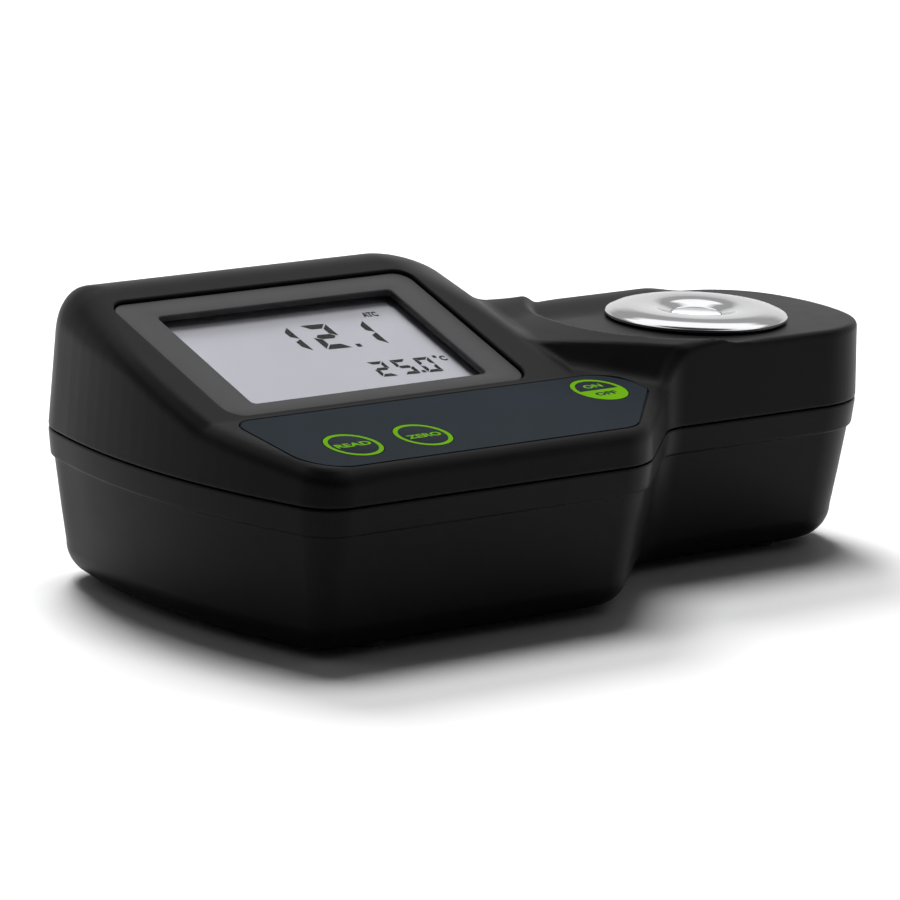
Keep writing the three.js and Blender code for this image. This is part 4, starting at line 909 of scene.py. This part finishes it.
# Camera, as calibrated from the photograph
yaw, pitch, roll = 0.6944978967, 0.2183808644, 0.0387321613
ahead = Vector((math.sin(yaw) * math.cos(pitch), math.cos(yaw) * math.cos(pitch), -math.sin(pitch)))
right = Vector((math.cos(yaw), -math.sin(yaw), 0))
above = right.cross(ahead)
right, above = (right * math.cos(roll) + above * math.sin(roll),
                above * math.cos(roll) - right * math.sin(roll))
camera = bpy.data.objects.new("camera", bpy.data.cameras.new("camera"))
bpy.context.scene.collection.objects.link(camera)
camera.matrix_world = Matrix((
    (right.x, above.x, -ahead.x, -0.865161),
    (right.y, above.y, -ahead.y, -1.024352),
    (right.z, above.z, -ahead.z, 0.324383),
    (0, 0, 0, 1)))
camera.data.sensor_fit = "HORIZONTAL"
camera.data.sensor_width = 36
camera.data.lens = 6242.3109 / 900 * 36
camera.data.clip_start = 0.05
camera.data.clip_end = 20
bpy.context.scene.camera = camera


# Floor, background and lamps

def make_floor():
    material = bpy.data.materials.new("floor_white")
    material.use_nodes = True
    nodes, links = material.node_tree.nodes, material.node_tree.links
    shader = nodes["Principled BSDF"]
    shader.inputs["Roughness"].default_value = 0.6
    shader.inputs["Specular IOR Level"].default_value = 0.1
    place = nodes.new("ShaderNodeTexCoord")
    paper = nodes.new("ShaderNodeTexNoise")
    paper.inputs["Scale"].default_value = 2
    links.new(place.outputs["Object"], paper.inputs["Vector"])
    tint = nodes.new("ShaderNodeValToRGB")
    ramp_points(tint, [(0.3, (0.93, 0.93, 0.93)), (0.7, (0.95, 0.95, 0.95))])
    links.new(paper.outputs["Fac"], tint.inputs["Fac"])
    links.new(tint.outputs["Color"], shader.inputs["Base Color"])
    mesh = bpy.data.meshes.new("floor")
    mesh.from_pydata([(-6, -6, 0), (6, -6, 0), (6, 6, 0), (-6, 6, 0)], [], [(0, 1, 2, 3)])
    mesh.materials.append(material)
    floor = bpy.data.objects.new("floor", mesh)
    bpy.context.scene.collection.objects.link(floor)


make_floor()


def lamp(name, place, target, width, height, power):
    light = bpy.data.lights.new(name, "AREA")
    light.shape = "ELLIPSE"
    light.size, light.size_y = width, height
    light.energy = power
    obj = bpy.data.objects.new(name, light)
    obj.location = place
    obj.rotation_mode = "QUATERNION"
    obj.rotation_quaternion = (Vector(target) - Vector(place)).to_track_quat("-Z", "Y")
    obj.visible_glossy = False
    bpy.context.scene.collection.objects.link(obj)


lamp("lamp_back", (0.4, 1.05, 1.15), (0, 0, 0.03), 0.7, 0.6, 22)
lamp("lamp_left", (-1.2, 0.5, 0.9), (0, 0, 0.03), 0.6, 0.9, 0.3)
lamp("lamp_top", (0.2, 0.4, 1.45), (0, 0, 0), 0.8, 0.6, 17)

# The world: white to the camera, a studio with a softbox overhead and a dark near side to mirrors
SOFTBOX = 1.9
FAR_SIDE = (0.64, 0.768, 0)
world = bpy.data.worlds.new("world")
bpy.context.scene.world = world
world.use_nodes = True
nodes, links = world.node_tree.nodes, world.node_tree.links
soft = nodes["Background"]
soft.inputs["Strength"].default_value = 0.12
white = nodes.new("ShaderNodeBackground")
white.inputs["Color"].default_value = (1, 1, 1, 1)
white.inputs["Strength"].default_value = 1
studio = nodes.new("ShaderNodeBackground")
place = nodes.new("ShaderNodeTexCoord")
parts = nodes.new("ShaderNodeSeparateXYZ")
links.new(place.outputs["Generated"], parts.inputs["Vector"])
heights = nodes.new("ShaderNodeValToRGB")
ramp_points(heights, [(0.0, 1.0), (0.28, 1.0), (0.42, 0.55), (0.6, 0.6), (0.68, SOFTBOX), (0.88, SOFTBOX),
                      (0.93, 0.1), (1.0, 0.08)])
links.new(parts.outputs["Z"], heights.inputs["Fac"])
aside = nodes.new("ShaderNodeVectorMath")
aside.operation = "DOT_PRODUCT"
aside.inputs[1].default_value = FAR_SIDE
links.new(place.outputs["Generated"], aside.inputs[0])
depth = nodes.new("ShaderNodeMapRange")
depth.inputs["From Min"].default_value = -0.6
depth.inputs["From Max"].default_value = 0.1
depth.inputs["To Min"].default_value = 0.06
links.new(aside.outputs["Value"], depth.inputs["Value"])
tone = nodes.new("ShaderNodeVectorMath")
tone.operation = "SCALE"
links.new(heights.outputs["Color"], tone.inputs[0])
links.new(depth.outputs["Result"], tone.inputs["Scale"])
links.new(tone.outputs["Vector"], studio.inputs["Color"])
links.new(tone.outputs["Vector"], soft.inputs["Color"])
path = nodes.new("ShaderNodeLightPath")
mirrored = nodes.new("ShaderNodeMath")
mirrored.operation = "MAXIMUM"
links.new(path.outputs["Is Glossy Ray"], mirrored.inputs[0])
links.new(path.outputs["Is Transmission Ray"], mirrored.inputs[1])
mirror_mix = nodes.new("ShaderNodeMixShader")
links.new(mirrored.outputs["Value"], mirror_mix.inputs["Fac"])
links.new(soft.outputs["Background"], mirror_mix.inputs[1])
links.new(studio.outputs["Background"], mirror_mix.inputs[2])
mix = nodes.new("ShaderNodeMixShader")
links.new(path.outputs["Is Camera Ray"], mix.inputs["Fac"])
links.new(mirror_mix.outputs["Shader"], mix.inputs[1])
links.new(white.outputs["Background"], mix.inputs[2])
links.new(mix.outputs["Shader"], nodes["World Output"].inputs["Surface"])
bpy.context.scene.view_settings.view_transform = "Standard"
